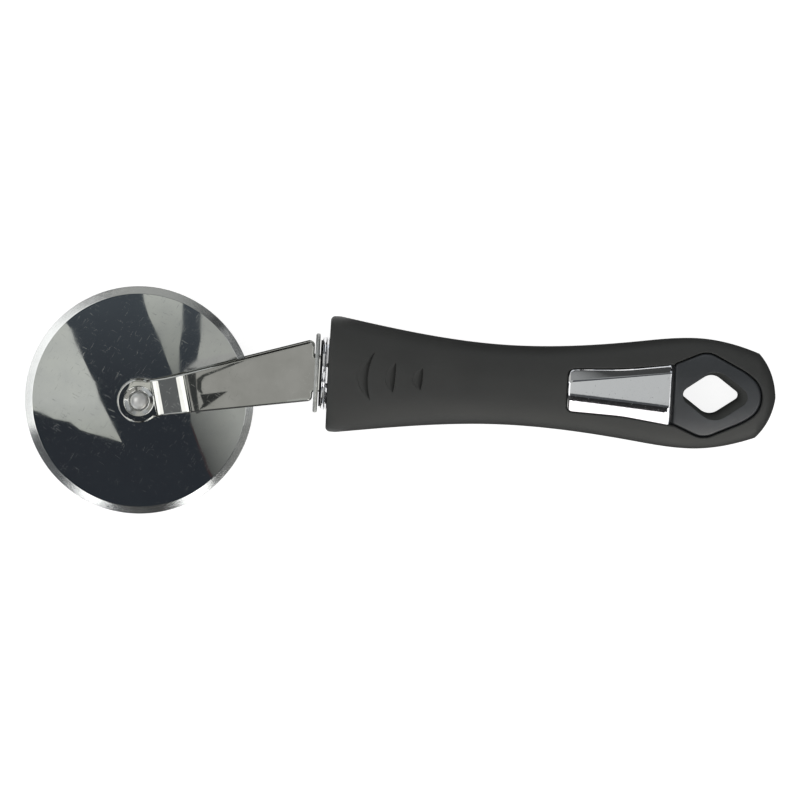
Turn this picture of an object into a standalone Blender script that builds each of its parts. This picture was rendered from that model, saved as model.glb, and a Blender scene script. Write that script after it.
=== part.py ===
"""Pizza cutter lying flat, wheel to the left.

A steel wheel turns on a rivet between the pads of two cranked arms. The arms stop at a
flange plate, and their tangs run on through a chrome ferrule into the handle, which is a
hard core under a soft grip. Metres, +Z up, +X towards the handle's end, table at z = 0.
"""

import math

import bmesh
import bpy
from mathutils import Matrix, Vector

MM = 0.001

# Fits
gap = 0.3 * MM
overrun = 1.0 * MM

# Wheel, hub sleeve and rivet
wheel_radius = 32.5 * MM
wheel_thickness = 1.2 * MM
bevel_width = 2.25 * MM
edge_thickness = 0.3 * MM
rivet_radius = 1.6 * MM
head_lip = 0.5 * MM
head_height = 0.95 * MM
sleeve_wall = 0.7 * MM
sleeve_proud = 0.15 * MM

# Arms, with a seat pressed into each pad for the rivet's head
sheet_thickness = 1.2 * MM
sheet_edge_radius = 0.25 * MM
seat_clearance = 0.6 * MM
seat_slope = 1.2 * MM
seat_depth = 0.6 * MM
seat_margin = 0.4 * MM
pad_rim = 2.1 * MM
neck_draw = 1.05 * MM
neck_end = 9.0 * MM
joggle_start = 5.1 * MM
joggle_length = 7.3 * MM
joggle_rise = 2.4 * MM
bend_length = 2.2 * MM
shoulder_half_width = 8.5 * MM
shoulder_radius = 1.4 * MM
shoulder_rise = 0.9 * MM

# Tangs and the pins through them
tang_half_width = 4.9 * MM
tang_end_radius = 1.5 * MM
tang_root_radius = 0.5 * MM
pin_radius = 1.25 * MM
pin_margin = 2.75 * MM
pin_pitch = 10.0 * MM
pin_reach = 1.0 * MM
tang_past_pin = 6.0 * MM

# Flange plate and ferrule, both oval
flange_lip = 0.9 * MM
flange_thickness = 1.2 * MM
ferrule_half_width = 10.4 * MM
ferrule_wall = 2.15 * MM
ferrule_stub = 2.4 * MM
ferrule_insert = 6.0 * MM
ferrule_groove = 0.8 * MM

# Handle form. A place is a distance from the handle's front face, and a reach is a
# distance from its end.
axle_to_handle = 53.3 * MM
crank_offset = 10.5 * MM
handle_length = 127.5 * MM
front_place = 3.4 * MM
waist_place = 52.0 * MM
swell_reach = 37.5 * MM
tail_reach = 23.5 * MM
end_reach = 4.9 * MM
front_half_width = 16.4 * MM
waist_half_width = 11.35 * MM
swell_half_width = 14.55 * MM
tail_half_width = 15.82 * MM
end_half_width = 12.05 * MM
end_cap_half_width = 1.0 * MM
mouth_wall = 3.7 * MM
waist_half_depth = 9.3 * MM
tail_half_depth = 7.7 * MM
front_edge_radius = 1.2 * MM
end_edge_radius = 3.2 * MM
handle_bow = 0.7 * MM
grip_thickness = 2.0 * MM

# Slopes and section shape of the handle form, without units
front_taper_share = 0.16
swell_taper_share = 0.145
end_taper_share = 0.38
depth_taper_share = 0.032
section_power_share = 2.45
rest_flat_share = 0.06

# Thumb crescents: three, each smaller than the one before
crescent_place = 7.7 * MM
crescent_shift = 1.2 * MM
crescent_pitch = 7.75 * MM
crescent_width = 2.8 * MM
crescent_sag = 1.9 * MM
crescent_half_height = 6.9 * MM
crescent_depth = 0.8 * MM
crescent_tip = 0.2 * MM
crescent_shares = (1.0, 0.62, 0.46)

# Surround of the hanging hole, given by its corners before they are rounded
surround_reach = 29.1 * MM
surround_start_half_width = 8.5 * MM
surround_start_radius = 0.8 * MM
surround_crown_reach = 20.0 * MM
surround_crown_half_width = 12.5 * MM
surround_crown_radius = 6.0 * MM
surround_tip_past_end = 2.4 * MM
surround_tip_radius = 7.1 * MM
surround_recess = 0.25 * MM

# Hanging hole, a rounded diamond that flares at both faces
hole_reach = 18.3 * MM
hole_half_length = 9.6 * MM
hole_half_height = 6.6 * MM
hole_end_radius = 2.0 * MM
hole_side_radius = 2.6 * MM
hole_flare = 2.0 * MM

# Badge plate, which ends at the surround
badge_length = 29.9 * MM
badge_start_half_width = 5.85 * MM
badge_waist_reach = 14.1 * MM
badge_waist_half_width = 6.6 * MM
badge_waist_radius = 60.0 * MM
badge_start_radius = 1.6 * MM
badge_end_radius = 0.5 * MM
badge_rise = 0.35 * MM
badge_sink = 0.1 * MM
upper_facet_start = 2.6 * MM
upper_facet_end = 1.2 * MM
lower_facet_start = 4.5 * MM
lower_facet_end = 4.25 * MM
peg_radius = 1.5 * MM
peg_length = 3.0 * MM
peg_inset = 7.0 * MM

# Numbers of facets
round_steps = 72
small_round_steps = 24
section_steps = 32
body_steps = 20
end_steps = 6
arc_steps = 5

# Derived sizes of the hub and arms
sleeve_radius = rivet_radius + gap + sleeve_wall
sleeve_length = wheel_thickness + 2 * sleeve_proud
head_radius = rivet_radius + gap + head_lip
seat_floor_radius = head_radius + seat_clearance
seat_radius = seat_floor_radius + seat_slope
pad_radius = seat_radius + pad_rim
neck_half_width = pad_radius - neck_draw
joggle_end = joggle_start + joggle_length
seat_inner = sleeve_length / 2 + gap
seat_outer = seat_inner + sheet_thickness
pad_inner = seat_inner + seat_depth
pad_outer = pad_inner + sheet_thickness
arm_inner = pad_inner + joggle_rise
arm_outer = arm_inner + sheet_thickness

# Derived sizes of the collar and the handle's depth
ferrule_half_depth = arm_outer + gap + ferrule_wall
flange_half_width = ferrule_half_width + flange_lip
flange_half_depth = ferrule_half_depth + flange_lip
front_half_depth = ferrule_half_depth + mouth_wall
tool_z = front_half_depth * (1 - rest_flat_share)

# Derived places along the handle
ferrule_front = -ferrule_stub
flange_back = ferrule_front - gap
flange_front = flange_back - flange_thickness
shoulder_place = flange_front - gap
first_pin_place = ferrule_insert + pin_margin + pin_radius
pin_places = (first_pin_place, first_pin_place + pin_pitch)
tang_depth = first_pin_place + pin_pitch + tang_past_pin
swell_place = handle_length - swell_reach
tail_place = handle_length - tail_reach
end_place = handle_length - end_reach
end_arc_radius = (end_half_width ** 2 + end_reach ** 2) / (2 * end_reach)
end_arc_place = handle_length - end_arc_radius
hole_place = handle_length - hole_reach
surround_start = handle_length - surround_reach
surround_crown_place = handle_length - surround_crown_reach
surround_tip_place = handle_length + surround_tip_past_end
badge_end = surround_start - gap
badge_start = badge_end - badge_length
badge_waist_place = badge_end - badge_waist_reach
badge_end_half_width = surround_start_half_width
peg_places = (badge_start + peg_inset, badge_end - peg_inset)

# Places of the two frames that carry everything, about the middle of the whole outline
overall_length = wheel_radius + axle_to_handle + handle_length
axle_x = wheel_radius - overall_length / 2
handle_x = axle_x + axle_to_handle

cavity_inset = grip_thickness
core_inset = grip_thickness + gap


# Building blocks

def clear_scene():
    for item in list(bpy.data.objects):
        bpy.data.objects.remove(item, do_unlink=True)


def make_material(name, colour, roughness, metallic):
    material = bpy.data.materials.new(name)
    material.use_nodes = True
    shader = material.node_tree.nodes["Principled BSDF"]
    shader.inputs["Base Color"].default_value = (*colour, 1.0)
    shader.inputs["Roughness"].default_value = roughness
    shader.inputs["Metallic"].default_value = metallic
    return material


def make_object(name, bm, parent, material=None):
    """An object from a closed mesh, shaded smooth between its sharp edges."""
    bmesh.ops.recalc_face_normals(bm, faces=bm.faces)
    mesh = bpy.data.meshes.new(name)
    bm.to_mesh(mesh)
    bm.free()
    mesh.shade_smooth()
    mesh.set_sharp_from_angle(angle=math.radians(35))
    item = bpy.data.objects.new(name, mesh)
    bpy.context.scene.collection.objects.link(item)
    item.parent = parent
    if material:
        mesh.materials.append(material)
    else:
        item.hide_render = True
        item.display_type = "WIRE"
    return item


def loft(rings):
    """A closed body through rings of equally many points, capped at both ends."""
    bm = bmesh.new()
    loops = [[bm.verts.new(point) for point in ring] for ring in rings]
    for first, second in zip(loops, loops[1:]):
        for index in range(len(first)):
            after = (index + 1) % len(first)
            bm.faces.new((first[index], first[after], second[after], second[index]))
    bm.faces.new(loops[0])
    bm.faces.new(loops[-1])
    return bm


def prism(outline, bottom, top):
    """A flat outline extruded from one height to another."""
    return loft([[(x, y, height) for x, y in outline] for height in (bottom, top)])


def oval_bar(stations):
    """Ovals along X through stations of (place, half width, half depth)."""
    rings = []
    for place, half_width, half_depth in stations:
        ring = []
        for index in range(section_steps):
            angle = math.tau * index / section_steps
            y = half_width * math.cos(angle)
            z = tool_z + half_depth * math.sin(angle)
            ring.append((place, y, z))
        rings.append(ring)
    return loft(rings)


def round_bar(x, y, bottom, top, radius, top_radius=None):
    """A round bar or cone along Z."""
    rings = []
    for height, ring_radius in ((bottom, radius), (top, top_radius or radius)):
        angles = [math.tau * index / small_round_steps for index in range(small_round_steps)]
        rings.append([(x + ring_radius * math.cos(angle), y + ring_radius * math.sin(angle), height)
                      for angle in angles])
    return loft(rings)


def boolean(target, tool, operation):
    modifier = target.modifiers.new(tool.name, "BOOLEAN")
    modifier.operation = operation
    modifier.object = tool
    modifier.solver = "EXACT"


def turned(profile, closed, steps):
    """A profile in the XZ plane, listed down its outer side, turned about Z."""
    bm = bmesh.new()
    verts = [bm.verts.new((radius, 0, height)) for radius, height in profile]
    for first, second in zip(verts, verts[1:]):
        bm.edges.new((first, second))
    if closed:
        bm.edges.new((verts[-1], verts[0]))
    bmesh.ops.spin(bm, geom=bm.verts[:] + bm.edges[:], axis=(0, 0, 1), cent=(0, 0, 0),
                   angle=math.tau, steps=steps, use_merge=True)
    bmesh.ops.remove_doubles(bm, verts=bm.verts, dist=gap / 100)
    return bm


# Outlines

def offset_corners(corners, distance):
    """Corners of a counter-clockwise outline whose edges move out by a distance."""
    count = len(corners)
    moved = []
    for index, (x, y, radius) in enumerate(corners):
        here = Vector((x, y))
        before = Vector(corners[index - 1][:2])
        after = Vector(corners[(index + 1) % count][:2])
        into = (here - before).normalized()
        out = (after - here).normalized()
        turn = into.x * out.y - into.y * out.x
        normals = Vector((into.y, -into.x)) + Vector((out.y, -out.x))
        shift = normals * (2 / normals.length_squared)
        place = here + shift * distance
        new_radius = radius + distance * math.copysign(1, turn) if radius else 0
        moved.append((place.x, place.y, max(new_radius, 0)))
    return moved


def rounded(corners):
    """Points of an outline whose corners (x, y, radius) are turned into arcs."""
    count = len(corners)
    points = []
    for index, (x, y, radius) in enumerate(corners):
        here = Vector((x, y))
        if not radius:
            points.append((x, y))
            continue
        into = (here - Vector(corners[index - 1][:2])).normalized()
        out = (Vector(corners[(index + 1) % count][:2]) - here).normalized()
        turn = into.angle_signed(out)
        reach = abs(radius * math.tan(turn / 2))
        start = here - into * reach
        for step in range(arc_steps + 1):
            bend = turn * step / arc_steps
            chord = 2 * radius * math.sin(abs(bend) / 2)
            direction = Matrix.Rotation(-bend / 2, 2) @ into
            point = start + direction * chord
            points.append((point.x, point.y))
    return points


def smooth_value(stations, place):
    """Height of a smooth curve through stations of (place, value, slope)."""
    for start, end in zip(stations, stations[1:]):
        if place <= end[0]:
            break
    span = end[0] - start[0]
    t = min((place - start[0]) / span, 1)
    rest = 1 - t
    value = start[1] * (1 + 2 * t) * rest * rest + end[1] * (3 - 2 * t) * t * t
    return value + span * t * rest * (start[2] * rest - end[2] * t)


# Handle form, in places along the handle from its front face

def edge_draw(distance, radius):
    """How far a rounded edge draws the surface in at a distance from the end face."""
    if distance >= radius:
        return 0
    return radius - math.sqrt(radius ** 2 - (radius - max(distance, 0)) ** 2)


def half_width(place, inset=0):
    """Half the handle's width at a place, or of a form inset all round."""
    side = smooth_value((
        (0, front_half_width, 0),
        (front_place, front_half_width, -front_taper_share),
        (waist_place, waist_half_width, 0),
        (swell_place, swell_half_width, swell_taper_share),
        (tail_place, tail_half_width, 0),
        (end_place, end_half_width, -end_taper_share),
        (handle_length, end_half_width - end_taper_share * end_reach, -end_taper_share),
    ), place) - inset
    if place > end_arc_place:
        arc = (end_arc_radius - inset) ** 2 - (place - end_arc_place) ** 2
        side = min(side, math.sqrt(max(arc, 0)))
    return side - edge_draw(place - inset, front_edge_radius)


def full_half_depth(place):
    """Half the handle's thickness before its two end edges are rounded."""
    return smooth_value((
        (0, front_half_depth, 0),
        (waist_place, waist_half_depth, -depth_taper_share),
        (tail_place, tail_half_depth, -depth_taper_share / 2),
        (handle_length, tail_half_depth, 0),
    ), place)


def half_depth(place, inset=0):
    end_draw = edge_draw(handle_length - inset - place, end_edge_radius)
    front_draw = edge_draw(place - inset, front_edge_radius)
    return full_half_depth(place) - inset - end_draw - front_draw


def middle_height(place):
    """The section's middle height, which leaves the same share of it cut flat below."""
    return full_half_depth(place) * (1 - rest_flat_share)


def bow(place):
    """The handle's slight bend sideways."""
    return -handle_bow * math.sin(math.pi * place / handle_length)


def section_power(value):
    return math.copysign(abs(value) ** (2 / section_power_share), value)


def handle_ring(place, inset):
    """One section: a rounded box shape with a flat strip underneath."""
    ring = []
    for index in range(section_steps):
        angle = math.tau * (index + 0.5) / section_steps
        y = bow(place) + half_width(place, inset) * section_power(math.cos(angle))
        z = middle_height(place) + half_depth(place, inset) * section_power(math.sin(angle))
        ring.append((place, y, max(z, inset)))
    return ring


def handle_form(inset):
    """The handle's whole form, inset all round."""
    places = [inset, inset + front_edge_radius / 4, inset + front_edge_radius]
    first = places[-1]
    places += [first + (end_place - first) * step / body_steps for step in range(1, body_steps + 1)]
    start_angle = math.asin((end_place - end_arc_place) / (end_arc_radius - inset))
    last_angle = math.acos(end_cap_half_width / (end_arc_radius - inset))
    for step in range(1, end_steps + 1):
        angle = start_angle + (last_angle - start_angle) * step / end_steps
        places.append(end_arc_place + (end_arc_radius - inset) * math.sin(angle))
    return loft([handle_ring(place, inset) for place in places])


def surface_height(place, y):
    """Height of the grip's upper surface at a place and a distance from its middle."""
    share = min(abs(y) / half_width(place), 1)
    fall = (1 - share ** section_power_share) ** (1 / section_power_share)
    return middle_height(place) + half_depth(place) * fall


# Outlines of what is set into the handle

def badge_corners():
    half = (
        (badge_end, badge_end_half_width, badge_end_radius),
        (badge_waist_place, badge_waist_half_width, badge_waist_radius),
        (badge_start, badge_start_half_width, badge_start_radius),
    )
    lower = [(x, -y, radius) for x, y, radius in reversed(half)]
    return shifted(lower + list(half), (badge_start + badge_end) / 2)


def surround_corners():
    half = (
        (surround_crown_place, surround_crown_half_width, surround_crown_radius),
        (surround_start, surround_start_half_width, surround_start_radius),
    )
    lower = [(x, -y, radius) for x, y, radius in reversed(half)]
    tip = [(surround_tip_place, 0, surround_tip_radius)]
    return shifted(lower + tip + list(half), hole_place)


def hole_corners():
    return shifted([
        (hole_place - hole_half_length, 0, hole_end_radius),
        (hole_place, -hole_half_height, hole_side_radius),
        (hole_place + hole_half_length, 0, hole_end_radius),
        (hole_place, hole_half_height, hole_side_radius),
    ], hole_place)


def shifted(corners, place):
    """Corners moved sideways onto the bowed middle line."""
    return [(x, y + bow(place), radius) for x, y, radius in corners]


# Wheel, hub sleeve and rivet, about the axle

def build_wheel(axle, steel):
    bore = sleeve_radius + gap
    rim = wheel_radius - bevel_width
    face = wheel_thickness / 2
    edge = edge_thickness / 2
    profile = [(bore, face), (rim, face), (wheel_radius, edge),
               (wheel_radius, -edge), (rim, -face), (bore, -face)]
    make_object("cutting_wheel", turned(profile, True, round_steps), axle, steel)


def build_sleeve(axle, steel):
    bore = rivet_radius + gap
    end = sleeve_length / 2
    profile = [(bore, end), (sleeve_radius, end), (sleeve_radius, -end), (bore, -end)]
    make_object("hub_sleeve", turned(profile, True, small_round_steps), axle, steel)


def build_rivet(axle, steel):
    """A low dome on the shown side and the same, formed, on the other."""
    base = seat_outer + gap
    dome = []
    for step in range(arc_steps + 1):
        angle = math.pi / 2 * (1 - step / arc_steps)
        dome.append((head_radius * math.cos(angle), base + head_height * math.sin(angle)))
    upper = [(0, base + head_height)] + dome[1:] + [(rivet_radius, base)]
    lower = [(radius, -height) for radius, height in reversed(upper)]
    make_object("axle_rivet", turned(upper + lower, False, small_round_steps), axle, steel)


# Arms, about the axle

def arm_direction():
    """The arm's middle line, from the axle to between the shoulders."""
    end = Vector((axle_to_handle + shoulder_place, crank_offset + shoulder_rise))
    return end.normalized()


def joggle_height(run):
    """Rise of the sheet above the pad at a run along the arm."""
    def ramp(distance):
        if abs(distance) < bend_length / 2:
            return (distance + bend_length / 2) ** 2 / (2 * bend_length)
        return max(distance, 0)

    slope = joggle_rise / (joggle_end - joggle_start)
    return slope * (ramp(run - joggle_start) - ramp(run - joggle_end))


def arm_outline():
    """The flat blank: round pad, neck, widening arm, shoulders and tang."""
    along = arm_direction()
    across = Vector((-along.y, along.x))
    half_angle = math.asin(neck_half_width / pad_radius)
    steps = 3 * arc_steps
    pad = []
    for step in range(steps + 1):
        angle = half_angle + (math.tau - 2 * half_angle) * step / steps
        point = pad_radius * (math.cos(angle) * along + math.sin(angle) * across)
        pad.append((point.x, point.y, 0))
    neck_upper = along * neck_end + across * neck_half_width
    neck_lower = along * neck_end - across * neck_half_width
    shoulder_x = axle_to_handle + shoulder_place
    shoulder_y = crank_offset + shoulder_rise
    tang_x = axle_to_handle + tang_depth
    return rounded(pad + [
        (neck_lower.x, neck_lower.y, 0),
        (shoulder_x, shoulder_y - shoulder_half_width, shoulder_radius),
        (shoulder_x, crank_offset - tang_half_width, tang_root_radius),
        (tang_x, crank_offset - tang_half_width, tang_end_radius),
        (tang_x, crank_offset + tang_half_width, tang_end_radius),
        (shoulder_x, crank_offset + tang_half_width, tang_root_radius),
        (shoulder_x, shoulder_y + shoulder_half_width, shoulder_radius),
        (neck_upper.x, neck_upper.y, 0),
    ])


def build_arm(name, side, axle, steel):
    """One arm: a blank scored at its bends, joggled and thickened outwards."""
    along = arm_direction()
    bm = bmesh.new()
    outline = arm_outline()
    if side < 0:
        outline.reverse()
    bm.faces.new([bm.verts.new((x, y, 0)) for x, y in outline])
    for bend in (joggle_start, joggle_end):
        for share in (-1 / 2, -1 / 6, 1 / 6, 1 / 2):
            line = along * (bend + bend_length * share)
            bmesh.ops.bisect_plane(bm, geom=bm.verts[:] + bm.edges[:] + bm.faces[:],
                                   plane_co=(line.x, line.y, 0), plane_no=(along.x, along.y, 0))
    for vert in bm.verts:
        run = vert.co.x * along.x + vert.co.y * along.y
        vert.co.z = side * (pad_inner + joggle_height(run))
    mesh = bpy.data.meshes.new(name)
    bm.to_mesh(mesh)
    bm.free()
    mesh.materials.append(steel)
    arm = bpy.data.objects.new(name, mesh)
    bpy.context.scene.collection.objects.link(arm)
    arm.parent = axle

    solid = arm.modifiers.new("thickness", "SOLIDIFY")
    solid.thickness = sheet_thickness
    solid.offset = 1
    solid.use_even_offset = True
    edges = arm.modifiers.new("edges", "BEVEL")
    edges.width = sheet_edge_radius
    edges.segments = 2
    edges.limit_method = "ANGLE"
    edges.angle_limit = math.radians(50)

    boss_radius = seat_floor_radius + seat_margin
    boss = round_bar(0, 0, side * seat_inner, side * (pad_inner + sheet_thickness / 4),
                     boss_radius, boss_radius + seat_radius - seat_floor_radius)
    boolean(arm, make_object(name + ".boss", boss, axle), "UNION")
    widen = (seat_radius - seat_floor_radius) * overrun / seat_depth
    seat = round_bar(0, 0, side * seat_outer, side * (pad_outer + overrun),
                     seat_floor_radius, seat_radius + widen)
    boolean(arm, make_object(name + ".seat", seat, axle), "DIFFERENCE")
    reach = arm_outer + overrun
    bore = round_bar(0, 0, -reach, reach, rivet_radius + gap)
    boolean(arm, make_object(name + ".bore", bore, axle), "DIFFERENCE")
    for index, place in enumerate(pin_places):
        hole = round_bar(axle_to_handle + place, crank_offset, -reach, reach, pin_radius + gap)
        boolean(arm, make_object(f"{name}.pin_hole_{index}", hole, axle), "DIFFERENCE")


# Flange plate, ferrule and tang pins, on the handle's middle line

def cut_tang_slots(item, start, end, handle):
    """Two slots for the tangs, with the fit's gap all round."""
    for side, label in ((1, "upper"), (-1, "lower")):
        half = tang_half_width + gap
        outline = [(start, -half), (end, -half), (end, half), (start, half)]
        slot = prism(outline, tool_z + side * (arm_inner - gap), tool_z + side * (arm_outer + gap))
        boolean(item, make_object(f"{item.name}.{label}_slot", slot, handle), "DIFFERENCE")


def build_flange(handle, steel):
    edge = flange_thickness / 4
    stations = (
        (flange_front, flange_half_width - edge, flange_half_depth - edge),
        (flange_front + edge, flange_half_width, flange_half_depth),
        (flange_back - edge, flange_half_width, flange_half_depth),
        (flange_back, flange_half_width - edge, flange_half_depth - edge),
    )
    flange = make_object("flange_plate", oval_bar(stations), handle, steel)
    cut_tang_slots(flange, flange_front - overrun, flange_back + overrun, handle)


def build_ferrule(handle, chrome):
    """Two proud rings outside the handle's mouth and a plain insert inside it."""
    ring_shares = ((0, 1.0), (0.2, 0.9), (0.24, 0.3), (0.34, 0), (0.54, 0), (0.64, 0.3),
                   (0.67, 0.9), (0.8, 0.9), (0.83, 0.3), (0.92, 0))
    stations = []
    for along_share, depth_share in ring_shares:
        stations.append((ferrule_front + ferrule_stub * along_share, ferrule_groove * depth_share))
    stations.append((ferrule_insert - ferrule_groove / 2, 0))
    stations.append((ferrule_insert, ferrule_groove / 2))
    ovals = [(place, ferrule_half_width - draw, ferrule_half_depth - draw) for place, draw in stations]
    ferrule = make_object("ferrule", oval_bar(ovals), handle, chrome)
    cut_tang_slots(ferrule, ferrule_front - overrun, ferrule_insert + overrun, handle)


def build_pins(handle, steel):
    """Pins driven in from the core's back, through both tangs."""
    for name, place in zip(("tang_pin_front", "tang_pin_rear"), pin_places):
        pin = round_bar(place, 0, core_inset, tool_z + arm_outer + pin_reach, pin_radius)
        make_object(name, pin, handle, steel)


# Handle core, soft grip and badge

def mouth(name, start, end, handle):
    """Oval bore for the ferrule."""
    width = ferrule_half_width + gap
    depth = ferrule_half_depth + gap
    return make_object(name, oval_bar(((start, width, depth), (end, width, depth))), handle)


def hole_cutter():
    """The hanging hole, wider at both faces."""
    top = 2 * middle_height(hole_place)
    steps = (
        (-overrun, hole_flare + overrun),
        (hole_flare, 0),
        (top - hole_flare, 0),
        (top + overrun, hole_flare + overrun),
    )
    rings = []
    for height, flare in steps:
        outline = rounded(offset_corners(hole_corners(), flare))
        rings.append([(x, y, height) for x, y in outline])
    return loft(rings)


def build_core(handle, plastic):
    """Hard moulding inside the grip, rising to both faces round the hanging hole."""
    top = 2 * front_half_depth + overrun
    core = make_object("handle_core", handle_form(core_inset), handle, plastic)
    surround = make_object("core.surround", handle_form(surround_recess), handle)
    outline = prism(rounded(surround_corners()), -overrun, top)
    boolean(surround, make_object("core.surround_outline", outline, handle), "INTERSECT")
    boolean(core, surround, "UNION")
    boolean(core, mouth("core.mouth", -overrun, ferrule_insert + gap, handle), "DIFFERENCE")
    cut_tang_slots(core, 0, tang_depth + gap, handle)
    for index, place in enumerate(pin_places):
        bore = round_bar(place, 0, -overrun, tool_z + arm_outer + pin_reach + gap, pin_radius + gap)
        boolean(core, make_object(f"core.pin_bore_{index}", bore, handle), "DIFFERENCE")
    for index, place in enumerate(peg_places):
        seat = surface_height(place, 0) - core_inset
        socket = round_bar(place, bow(place), seat - peg_length - gap, seat + overrun, peg_radius + gap)
        boolean(core, make_object(f"core.peg_socket_{index}", socket, handle), "DIFFERENCE")
    boolean(core, make_object("core.hole", hole_cutter(), handle), "DIFFERENCE")


def crescent(place, size):
    """A scoop between two arcs: shallow at its left arc and deepest at its right one."""
    half_height = crescent_half_height * size
    width = crescent_width * (1 + size) / 2
    rings = []
    for step in range(2 * arc_steps + 1):
        t = step / arc_steps - 1
        y = crescent_shift + half_height * t
        thickness = width * (1 - t * t) + crescent_tip
        right = place + width + crescent_sag * (size * t) ** 2
        left = right - thickness
        top = surface_height(place, 0) + overrun
        depth = crescent_depth * (1 - t * t)
        floor_left = surface_height(left, y)
        floor_right = surface_height(right, y) - depth
        middle = (left + right * 2) / 3
        floor_middle = surface_height(middle, y) - depth * 3 / 4
        rings.append([(left, y, floor_left), (middle, y, floor_middle), (right, y, floor_right),
                      (right, y, top), (left, y, top)])
    shift = bow(place)
    return loft([[(x, y + shift, z) for x, y, z in ring] for ring in rings])


def build_grip(handle, rubber):
    """Soft sleeve closed round the front, with windows for the badge and the surround."""
    top = 2 * front_half_depth + overrun
    grip = make_object("soft_grip", handle_form(0), handle, rubber)
    boolean(grip, make_object("grip.cavity", handle_form(cavity_inset), handle), "DIFFERENCE")
    boolean(grip, mouth("grip.mouth", -overrun, ferrule_insert, handle), "DIFFERENCE")
    window = prism(rounded(offset_corners(surround_corners(), gap)), -overrun, top)
    boolean(grip, make_object("grip.surround_window", window, handle), "DIFFERENCE")
    corners = offset_corners(badge_corners(), gap)
    reach = surround_start + overrun
    corners = [(reach, y, 0) if x > badge_end else (x, y, radius) for x, y, radius in corners]
    window = prism(rounded(corners), middle_height(badge_start), top)
    boolean(grip, make_object("grip.badge_window", window, handle), "DIFFERENCE")
    for index, size in enumerate(crescent_shares):
        scoop = crescent(crescent_place + crescent_pitch * index, size)
        boolean(grip, make_object(f"grip.crescent_{index}", scoop, handle), "DIFFERENCE")


def badge_ring(place):
    """One section of the badge: upper facet, middle facet and lower facet over a base."""
    along = (place - badge_start) / (badge_end - badge_start)
    edge = badge_start_half_width + (badge_end_half_width - badge_start_half_width) * along
    upper = edge - upper_facet_start - (upper_facet_end - upper_facet_start) * along
    lower = -edge + lower_facet_start + (lower_facet_end - lower_facet_start) * along
    crown = surface_height(place, 0) + badge_rise
    fall = crown - surface_height(place, edge) + badge_sink
    past = edge + overrun
    upper_skirt = crown - fall * (past - upper) / (edge - upper)
    lower_skirt = crown - fall * (past + lower) / (edge + lower)
    base = middle_height(badge_start)
    points = ((-past, lower_skirt), (lower, crown), (upper, crown),
              (past, upper_skirt), (past, base), (-past, base))
    return [(place, y + bow(place), z) for y, z in points]


def build_badge(handle, chrome):
    """Bare three-faceted plate on two pegs."""
    start = badge_start - overrun
    span = badge_end + overrun - start
    stations = [start + span * step / arc_steps for step in range(arc_steps + 1)]
    badge = make_object("badge_plate", loft([badge_ring(place) for place in stations]), handle, chrome)
    outline = prism(rounded(badge_corners()), 0, 2 * front_half_depth)
    boolean(badge, make_object("badge.outline", outline, handle), "INTERSECT")
    boolean(badge, make_object("badge.underside", handle_form(cavity_inset), handle), "DIFFERENCE")
    for index, place in enumerate(peg_places):
        seat = surface_height(place, 0) - core_inset
        peg = round_bar(place, bow(place), seat - peg_length, seat + grip_thickness, peg_radius)
        boolean(badge, make_object(f"badge.peg_{index}", peg, handle), "UNION")


def make_empty(name, location):
    empty = bpy.data.objects.new(name, None)
    bpy.context.scene.collection.objects.link(empty)
    empty.location = location
    return empty


def build():
    clear_scene()
    axle = make_empty("axle", (axle_x, 0, tool_z))
    handle = make_empty("handle_front", (handle_x, crank_offset, 0))
    polished_steel = make_material("polished_steel", (0.55, 0.55, 0.54), 0.12, 1.0)
    satin_steel = make_material("satin_steel", (0.5, 0.5, 0.5), 0.35, 1.0)
    chrome = make_material("chrome", (0.72, 0.72, 0.73), 0.06, 1.0)
    plastic = make_material("hard_plastic", (0.035, 0.038, 0.043), 0.35, 0.0)
    rubber = make_material("soft_rubber", (0.04, 0.04, 0.039), 0.75, 0.0)

    build_wheel(axle, polished_steel)
    build_sleeve(axle, satin_steel)
    build_rivet(axle, satin_steel)
    build_arm("front_arm", 1, axle, polished_steel)
    build_arm("rear_arm", -1, axle, polished_steel)
    build_flange(handle, satin_steel)
    build_ferrule(handle, chrome)
    build_pins(handle, satin_steel)
    build_core(handle, plastic)
    build_grip(handle, rubber)
    build_badge(handle, chrome)


build()
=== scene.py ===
"""Looks of the pizza cutter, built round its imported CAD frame.

Every visible piece is rebuilt finer in the CAD's own places, and the hidden ones keep their CAD
solids. Lengths are in metres. A place is a distance from the handle's front face. The studio is
a white floor, two soft boxes and some cards that only mirrors see, as a product photographer
hangs them over polished metal.
"""

import math

import bmesh
import bpy
from mathutils import Matrix, Vector


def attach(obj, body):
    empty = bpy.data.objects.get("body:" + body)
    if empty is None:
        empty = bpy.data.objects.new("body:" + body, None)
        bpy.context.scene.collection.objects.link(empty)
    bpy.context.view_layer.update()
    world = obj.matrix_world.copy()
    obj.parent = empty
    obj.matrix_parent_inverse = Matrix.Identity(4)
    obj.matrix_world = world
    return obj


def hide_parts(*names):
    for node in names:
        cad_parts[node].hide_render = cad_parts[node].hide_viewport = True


MM = 0.001
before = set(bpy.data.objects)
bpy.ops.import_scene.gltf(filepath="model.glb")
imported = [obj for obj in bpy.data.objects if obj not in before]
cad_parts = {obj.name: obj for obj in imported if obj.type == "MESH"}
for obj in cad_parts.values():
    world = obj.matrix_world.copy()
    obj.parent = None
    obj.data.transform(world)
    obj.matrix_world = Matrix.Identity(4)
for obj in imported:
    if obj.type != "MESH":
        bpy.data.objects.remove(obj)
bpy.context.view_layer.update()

# Sizes in the CAD's frame. The arms' bends and seat, the bevel, the edges and the inserts follow
# the photograph more finely than the CAD's own forms do.
GAP = 0.3 * MM
OVERRUN = 1.0 * MM
WHEEL_RADIUS = 32.5 * MM
WHEEL_THICKNESS = 1.2 * MM
BEVEL_WIDTH = 2.05 * MM
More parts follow.
